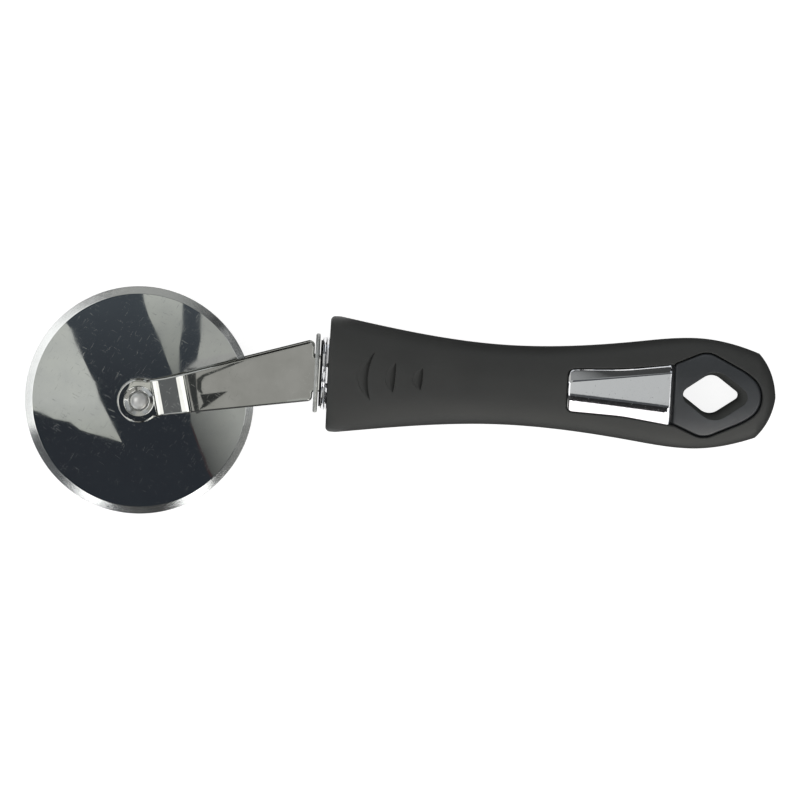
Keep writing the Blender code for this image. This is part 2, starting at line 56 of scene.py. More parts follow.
EDGE_THICKNESS = 0.3 * MM
WHEEL_SOFTNESS = 0.08 * MM
WHEEL_BORE = 2.9 * MM
RIVET_RADIUS = 1.6 * MM
HEAD_RADIUS = 2.4 * MM
HEAD_HEIGHT = 0.95 * MM
HEAD_LIP = 0.25 * MM
HEAD_CLEARANCE = 0.05 * MM
SHEET = 1.2 * MM
ARM_EDGE_ROLL = 0.52 * MM
SEAT_FLOOR_RADIUS = 3.0 * MM
SEAT_FLOOR_ROUND = 0.15 * MM
SEAT_RIM_ROUND = 0.2 * MM
SEAT_PAINT_MARGIN = GAP / 20
BOSS_MARGIN = 0.4 * MM
# Facing limits for the blade's edge faces that get painted shade, near-black steel standing in for
# shade and dark reflections along the edges
PAINTED_SHADE_UPPER = 0.85
PAINTED_SHADE_LOWER = -0.2
SEAT_RADIUS = 4.2 * MM
PAD_RADIUS = 6.2 * MM
NECK_HALF_WIDTH = 5.25 * MM
NECK_RADIUS = 4.0 * MM
NECK_END = 9.0 * MM
JOGGLE_START = 5.5 * MM
JOGGLE_END = 13.3 * MM
JOGGLE_RISE = 2.4 * MM
BEND_LENGTH = 2.65 * MM
SHOULDER_HALF_WIDTH = 8.5 * MM
SHOULDER_RADIUS = 1.4 * MM
SHOULDER_RISE = 0.9 * MM
SEAT_INNER = 1.05 * MM
SEAT_OUTER = 2.25 * MM
PAD_INNER = 1.65 * MM
PAD_OUTER = 2.85 * MM
ARM_INNER = 4.05 * MM
ARM_OUTER = 5.25 * MM
TANG_HALF_WIDTH = 4.9 * MM
TANG_END_RADIUS = 1.5 * MM
TANG_ROOT_RADIUS = 0.5 * MM
TANG_DEPTH = 26.0 * MM
PIN_PLACES = (10.0 * MM, 20.0 * MM)
PIN_HOLE_RADIUS = 1.55 * MM
FERRULE_HALF_WIDTH = 10.4 * MM
FERRULE_HALF_DEPTH = 7.7 * MM
FERRULE_STUB = 2.4 * MM
FERRULE_INSERT = 6.0 * MM
FERRULE_GROOVE = 0.8 * MM
FERRULE_RINGS = ((0.22, 0.73), (0.77, 0.97))
FERRULE_NECK = 0.79
FLANGE_HALF_WIDTH = 11.3 * MM
FLANGE_HALF_DEPTH = 8.6 * MM
FLANGE_ROLL = 0.4 * MM
FLANGE_FRONT = -3.9 * MM
FLANGE_BACK = -2.7 * MM
AXLE_TO_HANDLE = 53.3 * MM
CRANK_OFFSET = 10.5 * MM
HANDLE_LENGTH = 127.5 * MM
WAIST_PLACE = 52.0 * MM
TAIL_PLACE = 104.0 * MM
END_PLACE = 122.6 * MM
END_REACH = 4.9 * MM
FRONT_HALF_WIDTH = 16.4 * MM
END_HALF_WIDTH = 12.05 * MM
END_CAP_HALF_WIDTH = 0.35 * MM
FRONT_HALF_DEPTH = 11.4 * MM
TAIL_HALF_DEPTH = 7.7 * MM
FRONT_EDGE_RADIUS = 1.2 * MM
END_EDGE_RADIUS = 3.2 * MM
HANDLE_BOW = 0.7 * MM
GRIP_THICKNESS = 2.0 * MM
END_TAPER = 0.38
SECTION_POWER = 2.45
REST_FLAT = 0.06
TOOL_Z = FRONT_HALF_DEPTH * (1 - REST_FLAT)
AXLE_X = -74.15 * MM
HANDLE_X = AXLE_X + AXLE_TO_HANDLE
SHOULDER_X = AXLE_TO_HANDLE + FLANGE_FRONT - GAP
SHOULDER_Y = CRANK_OFFSET + SHOULDER_RISE
ARM_ALONG = Vector((SHOULDER_X, SHOULDER_Y)).normalized()
ARM_ACROSS = Vector((-ARM_ALONG.y, ARM_ALONG.x))
END_ARC_RADIUS = (END_HALF_WIDTH ** 2 + END_REACH ** 2) / (2 * END_REACH)
END_ARC_PLACE = HANDLE_LENGTH - END_ARC_RADIUS

# Stations along the handle: a place, half the width or depth there, and its slope
HALF_WIDTHS = (
    (0, FRONT_HALF_WIDTH, 0),
    (3.4 * MM, FRONT_HALF_WIDTH, -0.16),
    (WAIST_PLACE, 11.35 * MM, 0),
    (90.0 * MM, 14.55 * MM, 0.145),
    (TAIL_PLACE, 15.82 * MM, 0),
    (END_PLACE, END_HALF_WIDTH, -END_TAPER),
    (HANDLE_LENGTH, END_HALF_WIDTH - END_TAPER * END_REACH, -END_TAPER),
)
HALF_DEPTHS = (
    (0, FRONT_HALF_DEPTH, 0),
    (WAIST_PLACE, 9.3 * MM, -0.032),
    (TAIL_PLACE, TAIL_HALF_DEPTH, -0.016),
    (HANDLE_LENGTH, TAIL_HALF_DEPTH, 0),
)

# Inserts in the handle
HOLE_PLACE = 109.2 * MM
HOLE_HALF_LENGTH = 9.0 * MM
HOLE_HALF_HEIGHT = 6.45 * MM
HOLE_END_RADIUS = 1.5 * MM
HOLE_SIDE_RADIUS = 4.0 * MM
HOLE_FLARE = 1.25 * MM
HOLE_FLARE_SHIFT = 0.95 * MM
HOLE_DRAFT_DEPTH = 6.0 * MM
HOLE_DRAFT_START = 50
HOLE_LIP = 0.15 * MM
HOLE_WALL = 1.6 * MM
SURROUND_START = 98.4 * MM
SURROUND_START_HALF_WIDTH = 8.5 * MM
SURROUND_RECESS = 0.5 * MM
SURROUND_EDGE = 0.75 * MM
SURROUND_SKIRT = 2.6 * MM
BADGE_START = 68.2 * MM
BADGE_END = 97.4 * MM
BADGE_MIDDLE = (BADGE_START + BADGE_END) / 2
BADGE_START_HALF_WIDTH = 5.85 * MM
BADGE_RISE = 0.35 * MM
BADGE_SINK = 0.1 * MM
UPPER_FACET = (3.3 * MM, 2.2 * MM)
LOWER_FACET = (4.1 * MM, 3.85 * MM)
LOWER_SOFTNESS = 1.05 * MM
UPPER_SOFTNESS = 0.3 * MM
LOWER_SPAN = 1.6 * MM
UPPER_SPAN = 0.4 * MM
FACET_MARGIN = 0.45 * MM
BADGE_RIM = 0.3 * MM
BADGE_RIM_SLOPE = 0.25
BADGE_CHAMFERS = (0.55 * MM, 0.3 * MM)
BADGE_CHAMFER_SLOPE = 0.27
CHAMFER_ROUND = GAP / 10
BADGE_EDGE = 0.12 * MM
PEG_RADIUS = 1.5 * MM
PEG_LENGTH = 3.0 * MM
PEG_INSET = 7.0 * MM
WINDOW_LIP = 0.45 * MM
PAST_SURFACE = 0.25 * MM

# Upper halves of the inserts' outlines: place, distance from the middle line and corner radius
SURROUND_TIP = (126.9 * MM, 0, 7.1 * MM)
SURROUND_HALF = (
    (119.4 * MM, 6.7 * MM, 20.0 * MM),
    (107.5 * MM, 12.5 * MM, 6.0 * MM),
    (SURROUND_START, SURROUND_START_HALF_WIDTH, 0.8 * MM),
)
BADGE_HALF = (
    (BADGE_END, SURROUND_START_HALF_WIDTH, 0.5 * MM),
    (84.0 * MM, 6.6 * MM, 60.0 * MM),
    (BADGE_START, BADGE_START_HALF_WIDTH, 1.6 * MM),
)

# Scoops for the thumb, whose sizes and sags CRESCENT_FORMS lists from the first to the last
CRESCENT_PLACE = 8.5 * MM
CRESCENT_SHIFT = 1.0 * MM
CRESCENT_PITCH = 7.75 * MM
CRESCENT_WIDTH = 2.8 * MM
CRESCENT_LEAN = 0.05
CRESCENT_HALF_HEIGHT = 6.9 * MM
CRESCENT_DEPTH = 0.9 * MM
CRESCENT_SLOPE = 0.3 * MM
CRESCENT_TIP = 0.2 * MM
CRESCENT_FORMS = ((1.0, 1.35 * MM), (0.62, -0.25 * MM), (0.46, -0.3 * MM))

# Shares of a scoop's width, of its slope and of its nick
CRESCENT_PROFILE = ((0, 0, 0), (0.03, 0.25, 0), (0.08, 0.38, 0), (0.2, 0.45, 0), (0.4, 0.65, 0),
                    (0.5, 0.8, 0.06), (0.58, 0.92, 0.17), (0.66, 1, 0.32), (0.74, 1, 0.52),
                    (0.82, 1, 0.74), (0.9, 1, 0.92), (1, 1, 1))

# Fineness
ROUND_STEPS = 256
SMALL_ROUND_STEPS = 96
COLLAR_STEPS = 128
SECTION_STEPS = 128
BODY_STEPS = 150
END_STEPS = 40
COARSE = (48, 40, 12)
ARC_STEPS = 14
PAD_STEPS = 72
BEND_SCORES = 14
FACE_STEPS = 12
WINDOW_STEPS = 240
BADGE_STEPS = 24
SCOOP_STEPS = 40
OUTLINE_SPACING = 0.8 * MM
SMALLEST_RADIUS = 0.05 * MM
MERGE_DISTANCE = 0.005 * MM
WELD_DISTANCE = GAP / 300

# The first band of faces, counted from the surround's skirt, that has the hole's wall finish
WALL_START = 22


# Mesh helpers

def new_object(name, data):
    item = bpy.data.objects.new(name, data)
    bpy.context.scene.collection.objects.link(item)
    return item


def shade(mesh, smooth):
    """Smooth shading, except at edges sharper than an angle in degrees."""
    mesh.shade_smooth()
    mesh.set_sharp_from_angle(angle=math.radians(smooth))


def mesh_object(name, bm, materials=(), smooth=35):
    bmesh.ops.recalc_face_normals(bm, faces=bm.faces)
    mesh = bpy.data.meshes.new(name)
    bm.to_mesh(mesh)
    bm.free()
    shade(mesh, smooth)
    for material in materials:
        mesh.materials.append(material)
    return new_object(name, mesh)


def modified(item, kind, smooth, **settings):
    """The item after one modifier, made real at once."""
    modifier = item.modifiers.new(kind.lower(), kind)
    for name, value in settings.items():
        setattr(modifier, name, value)
    graph = bpy.context.evaluated_depsgraph_get()
    mesh = bpy.data.meshes.new_from_object(item.evaluated_get(graph), depsgraph=graph)
    item.modifiers.clear()
    old = item.data
    item.data = mesh
    mesh.name = item.name
    bpy.data.meshes.remove(old)
    shade(mesh, smooth)
    return item


def cut(item, bm, operation="DIFFERENCE", smooth=35):
    """One Boolean step with a tool that is then removed."""
    tool = mesh_object(item.name + ".tool", bm)
    modified(item, "BOOLEAN", smooth, operation=operation, object=tool, solver="EXACT")
    mesh = tool.data
    bpy.data.objects.remove(tool, do_unlink=True)
    bpy.data.meshes.remove(mesh)
    return item


def merged(item):
    """The item with its doubled points joined and its slivers gone."""
    bm = bmesh.new()
    bm.from_mesh(item.data)
    bmesh.ops.remove_doubles(bm, verts=bm.verts[:], dist=MERGE_DISTANCE)
    bmesh.ops.dissolve_degenerate(bm, edges=bm.edges[:], dist=MERGE_DISTANCE)
    bm.to_mesh(item.data)
    bm.free()
    return item


def flattened(item, smooth=35):
    """Keeps large flat faces flat in shading, so that they mirror like flat ones."""
    return modified(item, "WEIGHTED_NORMAL", smooth, mode="FACE_AREA", weight=100, keep_sharp=True)


def soften(item, width, segments, angle):
    """Rounds the item's edges that are sharper than an angle in degrees."""
    return modified(item, "BEVEL", 35, width=width, segments=segments, limit_method="ANGLE",
                    angle_limit=math.radians(angle), harden_normals=False)


def paint(item, index, belongs):
    """Gives the faces that a test picks one of the item's materials."""
    for face in item.data.polygons:
        if belongs(face):
            face.material_index = index


def sides(points):
    """Neighbours of a closed row, the last with the first."""
    return list(zip(points, [*points[1:], points[0]]))


def sheet(points):
    """A single flat face."""
    bm = bmesh.new()
    bm.faces.new([bm.verts.new(point) for point in points])
    return bm


def loft(rings, closed=False):
    """A body through rings of equally many points, capped unless it closes on itself."""
    bm = bmesh.new()
    loops = [[bm.verts.new(point) for point in ring] for ring in rings]
    for first, second in sides(loops) if closed else zip(loops, loops[1:]):
        for (a, b), (c, d) in zip(sides(first), sides(second)):
            bm.faces.new((a, b, d, c))
    if not closed:
        bm.faces.new(loops[0])
        bm.faces.new(loops[-1])
    return bm


def arc(steps, start, end):
    """Sines and cosines of evenly spaced angles, in degrees."""
    angles = [math.radians(start + (end - start) * step / steps) for step in range(steps + 1)]
    return [(math.sin(angle), math.cos(angle)) for angle in angles]


def around(steps, shift=0):
    """Cosines and sines of evenly spaced angles all the way round."""
    angles = [math.tau * (step + shift) / steps for step in range(steps)]
    return [(math.cos(angle), math.sin(angle)) for angle in angles]


def stacked(x, y, stations):
    """A round body along Z through stations of (height, radius)."""
    circle = around(SMALL_ROUND_STEPS)
    return loft([[(x + radius * cosine, y + radius * sine, height) for cosine, sine in circle]
                 for height, radius in stations])


def turned(upper, closed, steps):
    """A body round the axle, alike on both sides, from its upper half profile."""
    profile = upper + [(radius, -height) for radius, height in reversed(upper)]
    bm = bmesh.new()
    verts = [bm.verts.new((AXLE_X + radius, 0, TOOL_Z + height)) for radius, height in profile]
    for first, second in sides(verts) if closed else zip(verts, verts[1:]):
        bm.edges.new((first, second))
    bmesh.ops.spin(bm, geom=bm.verts[:] + bm.edges[:], axis=(0, 0, 1), cent=(AXLE_X, 0, TOOL_Z),
                   angle=math.tau, steps=steps, use_merge=True)
    bmesh.ops.remove_doubles(bm, verts=bm.verts, dist=WELD_DISTANCE)
    return bm


# Outlines

def corner_runs(corners):
    """Each corner (x, y, radius) with its point and the directions into it and out of it."""
    points = [Vector(corner[:2]) for corner in corners]
    befores, afters = points[-1:] + points, points[1:] + points[:1]
    for corner, before, here, after in zip(corners, befores, points, afters):
        yield corner, here, (here - before).normalized(), (after - here).normalized()


def offset_corners(corners, distance):
    """Corners of a counter-clockwise outline whose edges move out by a distance."""
    moved = []
    for (_, _, radius), here, into, out in corner_runs(corners):
        turn = into.x * out.y - into.y * out.x
        normals = Vector((into.y, -into.x)) + Vector((out.y, -out.x))
        place = here + normals * (2 / normals.length_squared) * distance
        if radius:
            radius = max(radius + distance * math.copysign(1, turn), SMALLEST_RADIUS)
        moved.append((place.x, place.y, radius))
    return moved


def rounded(corners):
    """Points of an outline whose corners are turned into arcs of their radii."""
    points = []
    for (x, y, radius), here, into, out in corner_runs(corners):
        if not radius:
            points.append((x, y))
            continue
        turn = into.angle_signed(out)
        start = here - into * abs(radius * math.tan(turn / 2))
        for step in range(ARC_STEPS + 1):
            bend = turn * step / ARC_STEPS
            chord = 2 * radius * math.sin(abs(bend) / 2)
            point = start + (Matrix.Rotation(-bend / 2, 2) @ into) * chord
            points.append((point.x, point.y))
    return points


def between(start, end, share):
    return tuple(first + (second - first) * share for first, second in zip(start, end))


def filled(points):
    """The outline with extra points on its long straight runs."""
    result = []
    for start, end in sides(points):
        pieces = max(1, round(math.hypot(end[0] - start[0], end[1] - start[1]) / OUTLINE_SPACING))
        result += [between(start, end, piece / pieces) for piece in range(pieces)]
    return result


def resampled(points, count):
    """The closed outline as a set number of evenly spaced points from its first one."""
    pairs = sides(points)
    lengths = [0.0]
    for start, end in pairs:
        lengths.append(lengths[-1] + math.hypot(end[0] - start[0], end[1] - start[1]))
    result = []
    index = 0
    for step in range(count):
        target = lengths[-1] * step / count
        while lengths[index + 1] < target:
            index += 1
        share = (target - lengths[index]) / (lengths[index + 1] - lengths[index])
        result.append(between(*pairs[index], share))
    return result


def cast(points, centre, angle):
    """Where a ray from the centre meets an outline that goes once round it."""
    ray = Vector((math.cos(angle), math.sin(angle)))
    distances = []
    for first, second in sides(points):
        start = Vector(first) - centre
        run = Vector(second) - centre - start
        cross = ray.x * run.y - ray.y * run.x
        if abs(cross) < 1e-15:
            continue
        distance = (start.x * run.y - start.y * run.x) / cross
        share = (start.x * ray.y - start.y * ray.x) / cross
        if distance > 0 and -1e-3 <= share <= 1 + 1e-3:
            distances.append(distance)
    return centre + ray * max(distances)


def smooth_value(stations, place):
    """Height of a smooth curve through stations of (place, value, slope)."""
    for start, end in zip(stations, stations[1:]):
        if place <= end[0]:
            break
    span = end[0] - start[0]
    t = min((place - start[0]) / span, 1)
    rest = 1 - t
    value = start[1] * (1 + 2 * t) * rest * rest + end[1] * (3 - 2 * t) * t * t
    return value + span * t * rest * (start[2] * rest - end[2] * t)


# Handle form

def edge_draw(distance, radius):
    if distance >= radius:
        return 0
    return radius - math.sqrt(radius ** 2 - (radius - max(distance, 0)) ** 2)


def half_width(place, inset=0):
    side = smooth_value(HALF_WIDTHS, place) - inset
    if place > END_ARC_PLACE:
        square = (END_ARC_RADIUS - inset) ** 2 - (place - END_ARC_PLACE) ** 2
        side = min(side, math.sqrt(max(square, 0)))
    return side - edge_draw(place - inset, FRONT_EDGE_RADIUS)


def full_half_depth(place):
    return smooth_value(HALF_DEPTHS, place)


def half_depth(place, inset=0):
    end_draw = edge_draw(HANDLE_LENGTH - inset - place, END_EDGE_RADIUS)
    front_draw = edge_draw(place - inset, FRONT_EDGE_RADIUS)
    return full_half_depth(place) - inset - end_draw - front_draw


def middle_height(place):
    return full_half_depth(place) * (1 - REST_FLAT)


def bow(place):
    return -HANDLE_BOW * math.sin(math.pi * place / HANDLE_LENGTH)


def section_power(value):
    return math.copysign(abs(value) ** (2 / SECTION_POWER), value)


def on_handle(place, y, z):
    """World point of a place along the handle, a distance from its front's middle and a height."""
    return HANDLE_X + place, CRANK_OFFSET + y, z


def oval_ring(place, half_width, half_depth, steps=SMALL_ROUND_STEPS):
    return [on_handle(place, half_width * cosine, TOOL_Z + half_depth * sine)
            for cosine, sine in around(steps)]


def prism(outline, bottom, top):
    """A straight body over an outline on the handle, between two heights."""
    return loft([[on_handle(x, y, height) for x, y in outline] for height in (bottom, top)])


def handle_ring(place, inset, steps):
    ring = []
    for cosine, sine in around(steps, 0.5):
        y = bow(place) + half_width(place, inset) * section_power(cosine)
        z = middle_height(place) + half_depth(place, inset) * section_power(sine)
        ring.append(on_handle(place, y, max(z, inset)))
    return ring


def handle_form(inset, steps=SECTION_STEPS, body_steps=BODY_STEPS, end_steps=END_STEPS):
    round_steps = max(2, end_steps // 5)
    places = [inset + FRONT_EDGE_RADIUS * (1 - cosine) for sine, cosine in arc(round_steps, 0, 90)]
    places[0] = inset
    first = places[-1]
    places += [first + (END_PLACE - first) * step / body_steps for step in range(1, body_steps + 1)]
    start_angle = math.asin((END_PLACE - END_ARC_PLACE) / (END_ARC_RADIUS - inset))
    last_angle = math.acos(END_CAP_HALF_WIDTH / (END_ARC_RADIUS - inset))
    for step in range(1, end_steps + 1):
        angle = start_angle + (last_angle - start_angle) * step / end_steps
        places.append(END_ARC_PLACE + (END_ARC_RADIUS - inset) * math.sin(angle))
    return loft([handle_ring(place, inset, steps) for place in places])


def surface_height(place, y, inset=0, side=1):
    """Height of the form's upper or lower surface at a place and a distance from its middle."""
    width = max(half_width(place, inset), 0.01 * MM)
    share = min(abs(y) / width, 1)
    fall = (1 - share ** SECTION_POWER) ** (1 / SECTION_POWER)
    height = middle_height(place) + side * half_depth(place, inset) * fall
    return max(height, inset)


def shifted(corners, place):
    return [(x, y + bow(place), radius) for x, y, radius in corners]


def mirrored_corners(half, tip, middle):
    """A whole outline from its upper half, on the handle's bowed middle line."""
    lower = [(x, -y, radius) for x, y, radius in reversed(half)]
    return shifted([*lower, *tip, *half], middle)


def badge_corners():
    return mirrored_corners(BADGE_HALF, (), BADGE_MIDDLE)


def surround_corners():
    return mirrored_corners(SURROUND_HALF, (SURROUND_TIP,), HOLE_PLACE)


def hole_corners():
    return shifted([
        (HOLE_PLACE - HOLE_HALF_LENGTH, 0, HOLE_END_RADIUS),
        (HOLE_PLACE, -HOLE_HALF_HEIGHT, HOLE_SIDE_RADIUS),
        (HOLE_PLACE + HOLE_HALF_LENGTH, 0, HOLE_END_RADIUS),
        (HOLE_PLACE, HOLE_HALF_HEIGHT, HOLE_SIDE_RADIUS),
    ], HOLE_PLACE)


# Material helpers

METAL = {"Metallic": 1.0}


def dimmed(colour, factor):
    return tuple(value * factor for value in colour)


class Nodes:
    """Short calls for making and joining the shader nodes of a material or of the world."""

    def __init__(self, owner):
        owner.use_nodes = True
        self.owner = owner
        self.tree = owner.node_tree
        self.shader = self.tree.nodes.get("Principled BSDF")

    def join(self, node, inputs):
        """Links each socket that is given another node's socket, and sets the others."""
        for name, value in inputs.items():
            if isinstance(value, bpy.types.NodeSocket):
                self.tree.links.new(value, node.inputs[name])
            else:
                node.inputs[name].default_value = value

    def add(self, kind, inputs, **values):
        node = self.tree.nodes.new("ShaderNode" + kind)
        for name, value in values.items():
            setattr(node, name, value)
        self.join(node, inputs)
        return node

    def place(self):
        return self.add("TexCoord", {}).outputs["Object"]

    def noise(self, vector, scale, detail, roughness=0.5):
        return self.add("TexNoise", {"Vector": vector, "Scale": scale, "Detail": detail,
                                     "Roughness": roughness}).outputs["Fac"]

    def spread(self, value, low, high, to_low=0.0, to_high=1.0):
        """A value's range mapped to another, clamped."""
        return self.add("MapRange", {"Value": value, "From Min": low, "From Max": high,
                                     "To Min": to_low, "To Max": to_high}).outputs["Result"]

    def math(self, operation, first, second):
        return self.add("Math", {0: first, 1: second}, operation=operation).outputs["Value"]

    def vector(self, operation, first, second=(0, 0, 0), output="Vector"):
        return self.add("VectorMath", {0: first, 1: second}, operation=operation).outputs[output]

    def blend(self, factor, first, second):
        """A colour between two."""
        return self.add("Mix", {"Factor": factor, 6: (*first, 1.0), 7: (*second, 1.0)},
                        data_type="RGBA").outputs[2]

    def bump(self, height, distance, strength=1.0, **under):
        return self.add("Bump", {"Height": height, "Distance": distance, "Strength": strength,
                                 **under}).outputs["Normal"]

    def scratches(self, turn, across, along, density):
        """Thin lines in one direction, 1 on a line and 0 off it."""
        vector = self.place()
        for change in ({"Rotation": (0, 0, turn)}, {"Scale": (across, along, 1)}):
            vector = self.add("Mapping", {"Vector": vector, **change}).outputs["Vector"]
        return self.spread(self.noise(vector, 1.0, 1.0), density, density + 0.03)

    def seen_ray(self):
        """1 for camera, glossy and transmission rays."""
        path = self.add("LightPath", {}).outputs
        seen = self.math("MAXIMUM", path["Is Camera Ray"], path["Is Glossy Ray"])
        return self.math("MAXIMUM", seen, path["Is Transmission Ray"])

    def coat(self, colour, roughness, normal, others):
        """The material, its shader joined to these and to others by their sockets' names."""
        self.join(self.shader, {"Base Color": colour, "Roughness": roughness, "Normal": normal,
                                **others})
        return self.owner


def new_material(name):
    return Nodes(bpy.data.materials.new(name))


def steel(name, colour, dull_colour, roughness, waviness, scratch_depth):
    """Polished sheet: a faint mottle, slight waves and fine scratches two ways."""
    n = new_material(name)
    mottle = n.noise(n.place(), 160.0, 4.0)
    lines = n.math("MAXIMUM", n.scratches(0.5, 5200.0, 230.0, 0.7),
                   n.scratches(-1.1, 4700.0, 260.0, 0.71))
    specks = n.spread(n.noise(n.place(), 2600.0, 1.0), 0.77, 0.79)
    marks = n.math("MAXIMUM", lines, specks)
    plain = n.spread(mottle, 0.3, 0.7, *roughness)
    waves = n.bump(n.noise(n.place(), 45.0, 1.0), waviness)
    return n.coat(n.blend(n.spread(mottle, 0.35, 0.65), colour, dull_colour),
                  n.math("ADD", plain, n.math("MULTIPLY", marks, 0.12)),
                  n.bump(marks, scratch_depth, Normal=waves), METAL)


def ground_steel(name, colour, low, high):
    """Steel ground round its axis: fine rings and a broad soft sheen across them."""
    n = new_material(name)
    centred = n.vector("SUBTRACT", n.place(), (AXLE_X, 0, 0))
    radius = n.vector("LENGTH", n.vector("MULTIPLY", centred, (1, 1, 0)), output="Value")
    grooves = n.add("TexNoise", {"W": radius, "Scale": 14000.0, "Detail": 2.0},
                    noise_dimensions="1D").outputs["Fac"]
    tangent = n.add("Tangent", {}, direction_type="RADIAL", axis="Z").outputs["Tangent"]
    return n.coat(n.blend(grooves, colour, dimmed(colour, 0.8)),
                  n.spread(n.noise(n.place(), 220.0, 3.0), 0.3, 0.7, low, high),
                  n.bump(grooves, 0.006 * MM, 0.5),
                  {"Tangent": tangent, "Anisotropic": 0.8, "Anisotropic Rotation": 0.25, **METAL})


def satin_steel(name, colour, low, high):
    n = new_material(name)
    mottle = n.noise(n.place(), 700.0, 4.0)
    return n.coat(n.blend(n.spread(mottle, 0.3, 0.7), colour, dimmed(colour, 0.82)),
                  n.spread(n.noise(n.place(), 300.0, 2.0), 0.3, 0.7, low, high),
                  n.bump(mottle, 0.03 * MM, 0.5), METAL)


def chrome(name, colour):
    """Plated plastic: bright, with slight ripples and a little dust."""
    n = new_material(name)
    dust = n.spread(n.noise(n.place(), 1500.0, 2.0), 0.66, 0.72)
    return n.coat(n.blend(dust, colour, dimmed(colour, 0.9)), n.spread(dust, 0.0, 1.0, 0.05, 0.16),
                  n.bump(n.noise(n.place(), 260.0, 2.0), 0.012 * MM), METAL)


def hard_plastic(name, colour, low, high, gloss=0.5):
    n = new_material(name)
    cloud = n.spread(n.noise(n.place(), 120.0, 3.0), 0.3, 0.7)
    return n.coat(n.blend(cloud, colour, dimmed(colour, 1.25)),
                  n.spread(n.noise(n.place(), 2400.0, 2.0), 0.3, 0.7, low, high),
                  n.bump(n.noise(n.place(), 5200.0, 2.0), 0.012 * MM, 0.5),
                  {"Specular IOR Level": gloss})


def soft_rubber(name, colour, low, high):
    """Matte soft-touch skin: fine grain, faint clouding and lighter handled patches."""
    n = new_material(name)
    cloud = n.spread(n.noise(n.place(), 70.0, 4.0), 0.3, 0.7)
    grain = n.bump(n.noise(n.place(), 4200.0, 3.0, 0.6), 0.02 * MM, 0.7)
    return n.coat(n.blend(cloud, colour, dimmed(colour, 1.18)), n.spread(cloud, 0.0, 1.0, low, high),
                  n.bump(n.noise(n.place(), 900.0, 2.0), 0.02 * MM, 0.5, Normal=grain),
                  {"Specular IOR Level": 0.32, "Sheen Weight": 0.03, "Sheen Roughness": 0.5})


MIRROR_STEEL = steel("mirror_steel", (0.62, 0.63, 0.61), (0.58, 0.59, 0.58), (0.01, 0.03),
                     0.0008 * MM, 0.0001 * MM)
ARM_STEEL = steel("arm_steel", (0.54, 0.54, 0.51), (0.49, 0.49, 0.46), (0.005, 0.02),
                  0.001 * MM, 0.0001 * MM)
BEVEL_STEEL = ground_steel("bevel_steel", (0.6, 0.61, 0.6), 0.13, 0.17)
RIVET_STEEL = satin_steel("rivet_steel", (0.64, 0.64, 0.62), 0.35, 0.45)
SEAT_STEEL = satin_steel("seat_steel", (0.6, 0.6, 0.57), 0.12, 0.2)
# Near-black cut-edge steel: rougher like a sheared edge, its darkness painted shade and painted dark
# reflection
SHEARED_EDGE_PAINTED_SHADE = satin_steel("sheared_edge_painted_shade", (0.1, 0.1, 0.1), 0.35, 0.5)
# Near-black steel that paints the shade in the collar's deep neck
NECK_PAINTED_SHADE = satin_steel("neck_painted_shade", (0.03, 0.03, 0.032), 0.5, 0.6)
FLANGE_STEEL = satin_steel("flange_steel", (0.52, 0.53, 0.51), 0.5, 0.65)
HIDDEN_STEEL = satin_steel("hidden_steel", (0.5, 0.5, 0.5), 0.35, 0.5)
CHROME = chrome("chrome", (0.78, 0.78, 0.79))
CORE_PLASTIC = hard_plastic("core_plastic", (0.026, 0.029, 0.032), 0.3, 0.42)
WALL_PLASTIC = hard_plastic("wall_plastic", (0.046, 0.048, 0.046), 0.75, 0.85, 0.1)
RUBBER = soft_rubber("rubber", (0.028, 0.029, 0.0275), 0.5, 0.62)


# Pieces

def wheel_disc():
    """Thin disc with a softened shoulder where its ground bevel starts."""
    rim = WHEEL_RADIUS - BEVEL_WIDTH
    face = WHEEL_THICKNESS / 2
    edge = EDGE_THICKNESS / 2
    soft = WHEEL_SOFTNESS
    drop = soft * (face - edge) / BEVEL_WIDTH
    upper = [(WHEEL_BORE, face - soft), (WHEEL_BORE + soft, face)]
    upper += [(WHEEL_BORE + (rim - WHEEL_BORE) * share, face) for share in (0.2, 0.4, 0.6, 0.8)]
    upper += [(rim - soft, face), (rim + soft, face - drop)]
    upper += [(WHEEL_RADIUS - soft, edge + drop), (WHEEL_RADIUS, edge - soft)]
    disc = mesh_object("wheel_disc", turned(upper, True, ROUND_STEPS), (MIRROR_STEEL, BEVEL_STEEL), 25)
    flattened(disc, 25)
    paint(disc, 1, lambda part: math.hypot(part.center.x - AXLE_X, part.center.y) > rim)
    return disc


def rivet():
    """Low dome with a small turned lip, the same on both sides."""
    base = SEAT_OUTER + HEAD_CLEARANCE
    crown = SEAT_OUTER + GAP + HEAD_HEIGHT
    upper = [(0, crown)]
    for sine, cosine in arc(16, 6, 90):
        upper.append((HEAD_RADIUS * sine, base + HEAD_LIP + (crown - base - HEAD_LIP) * cosine))
    upper += [(HEAD_RADIUS, base), (RIVET_RADIUS, base)]
    return mesh_object("rivet", turned(upper, False, SMALL_ROUND_STEPS), (RIVET_STEEL,), 50)


def joggle_height(run):
    def ramp(distance):
        if abs(distance) < BEND_LENGTH / 2:
            return (distance + BEND_LENGTH / 2) ** 2 / (2 * BEND_LENGTH)
        return max(distance, 0)

    slope = JOGGLE_RISE / (JOGGLE_END - JOGGLE_START)
    return slope * (ramp(run - JOGGLE_START) - ramp(run - JOGGLE_END))


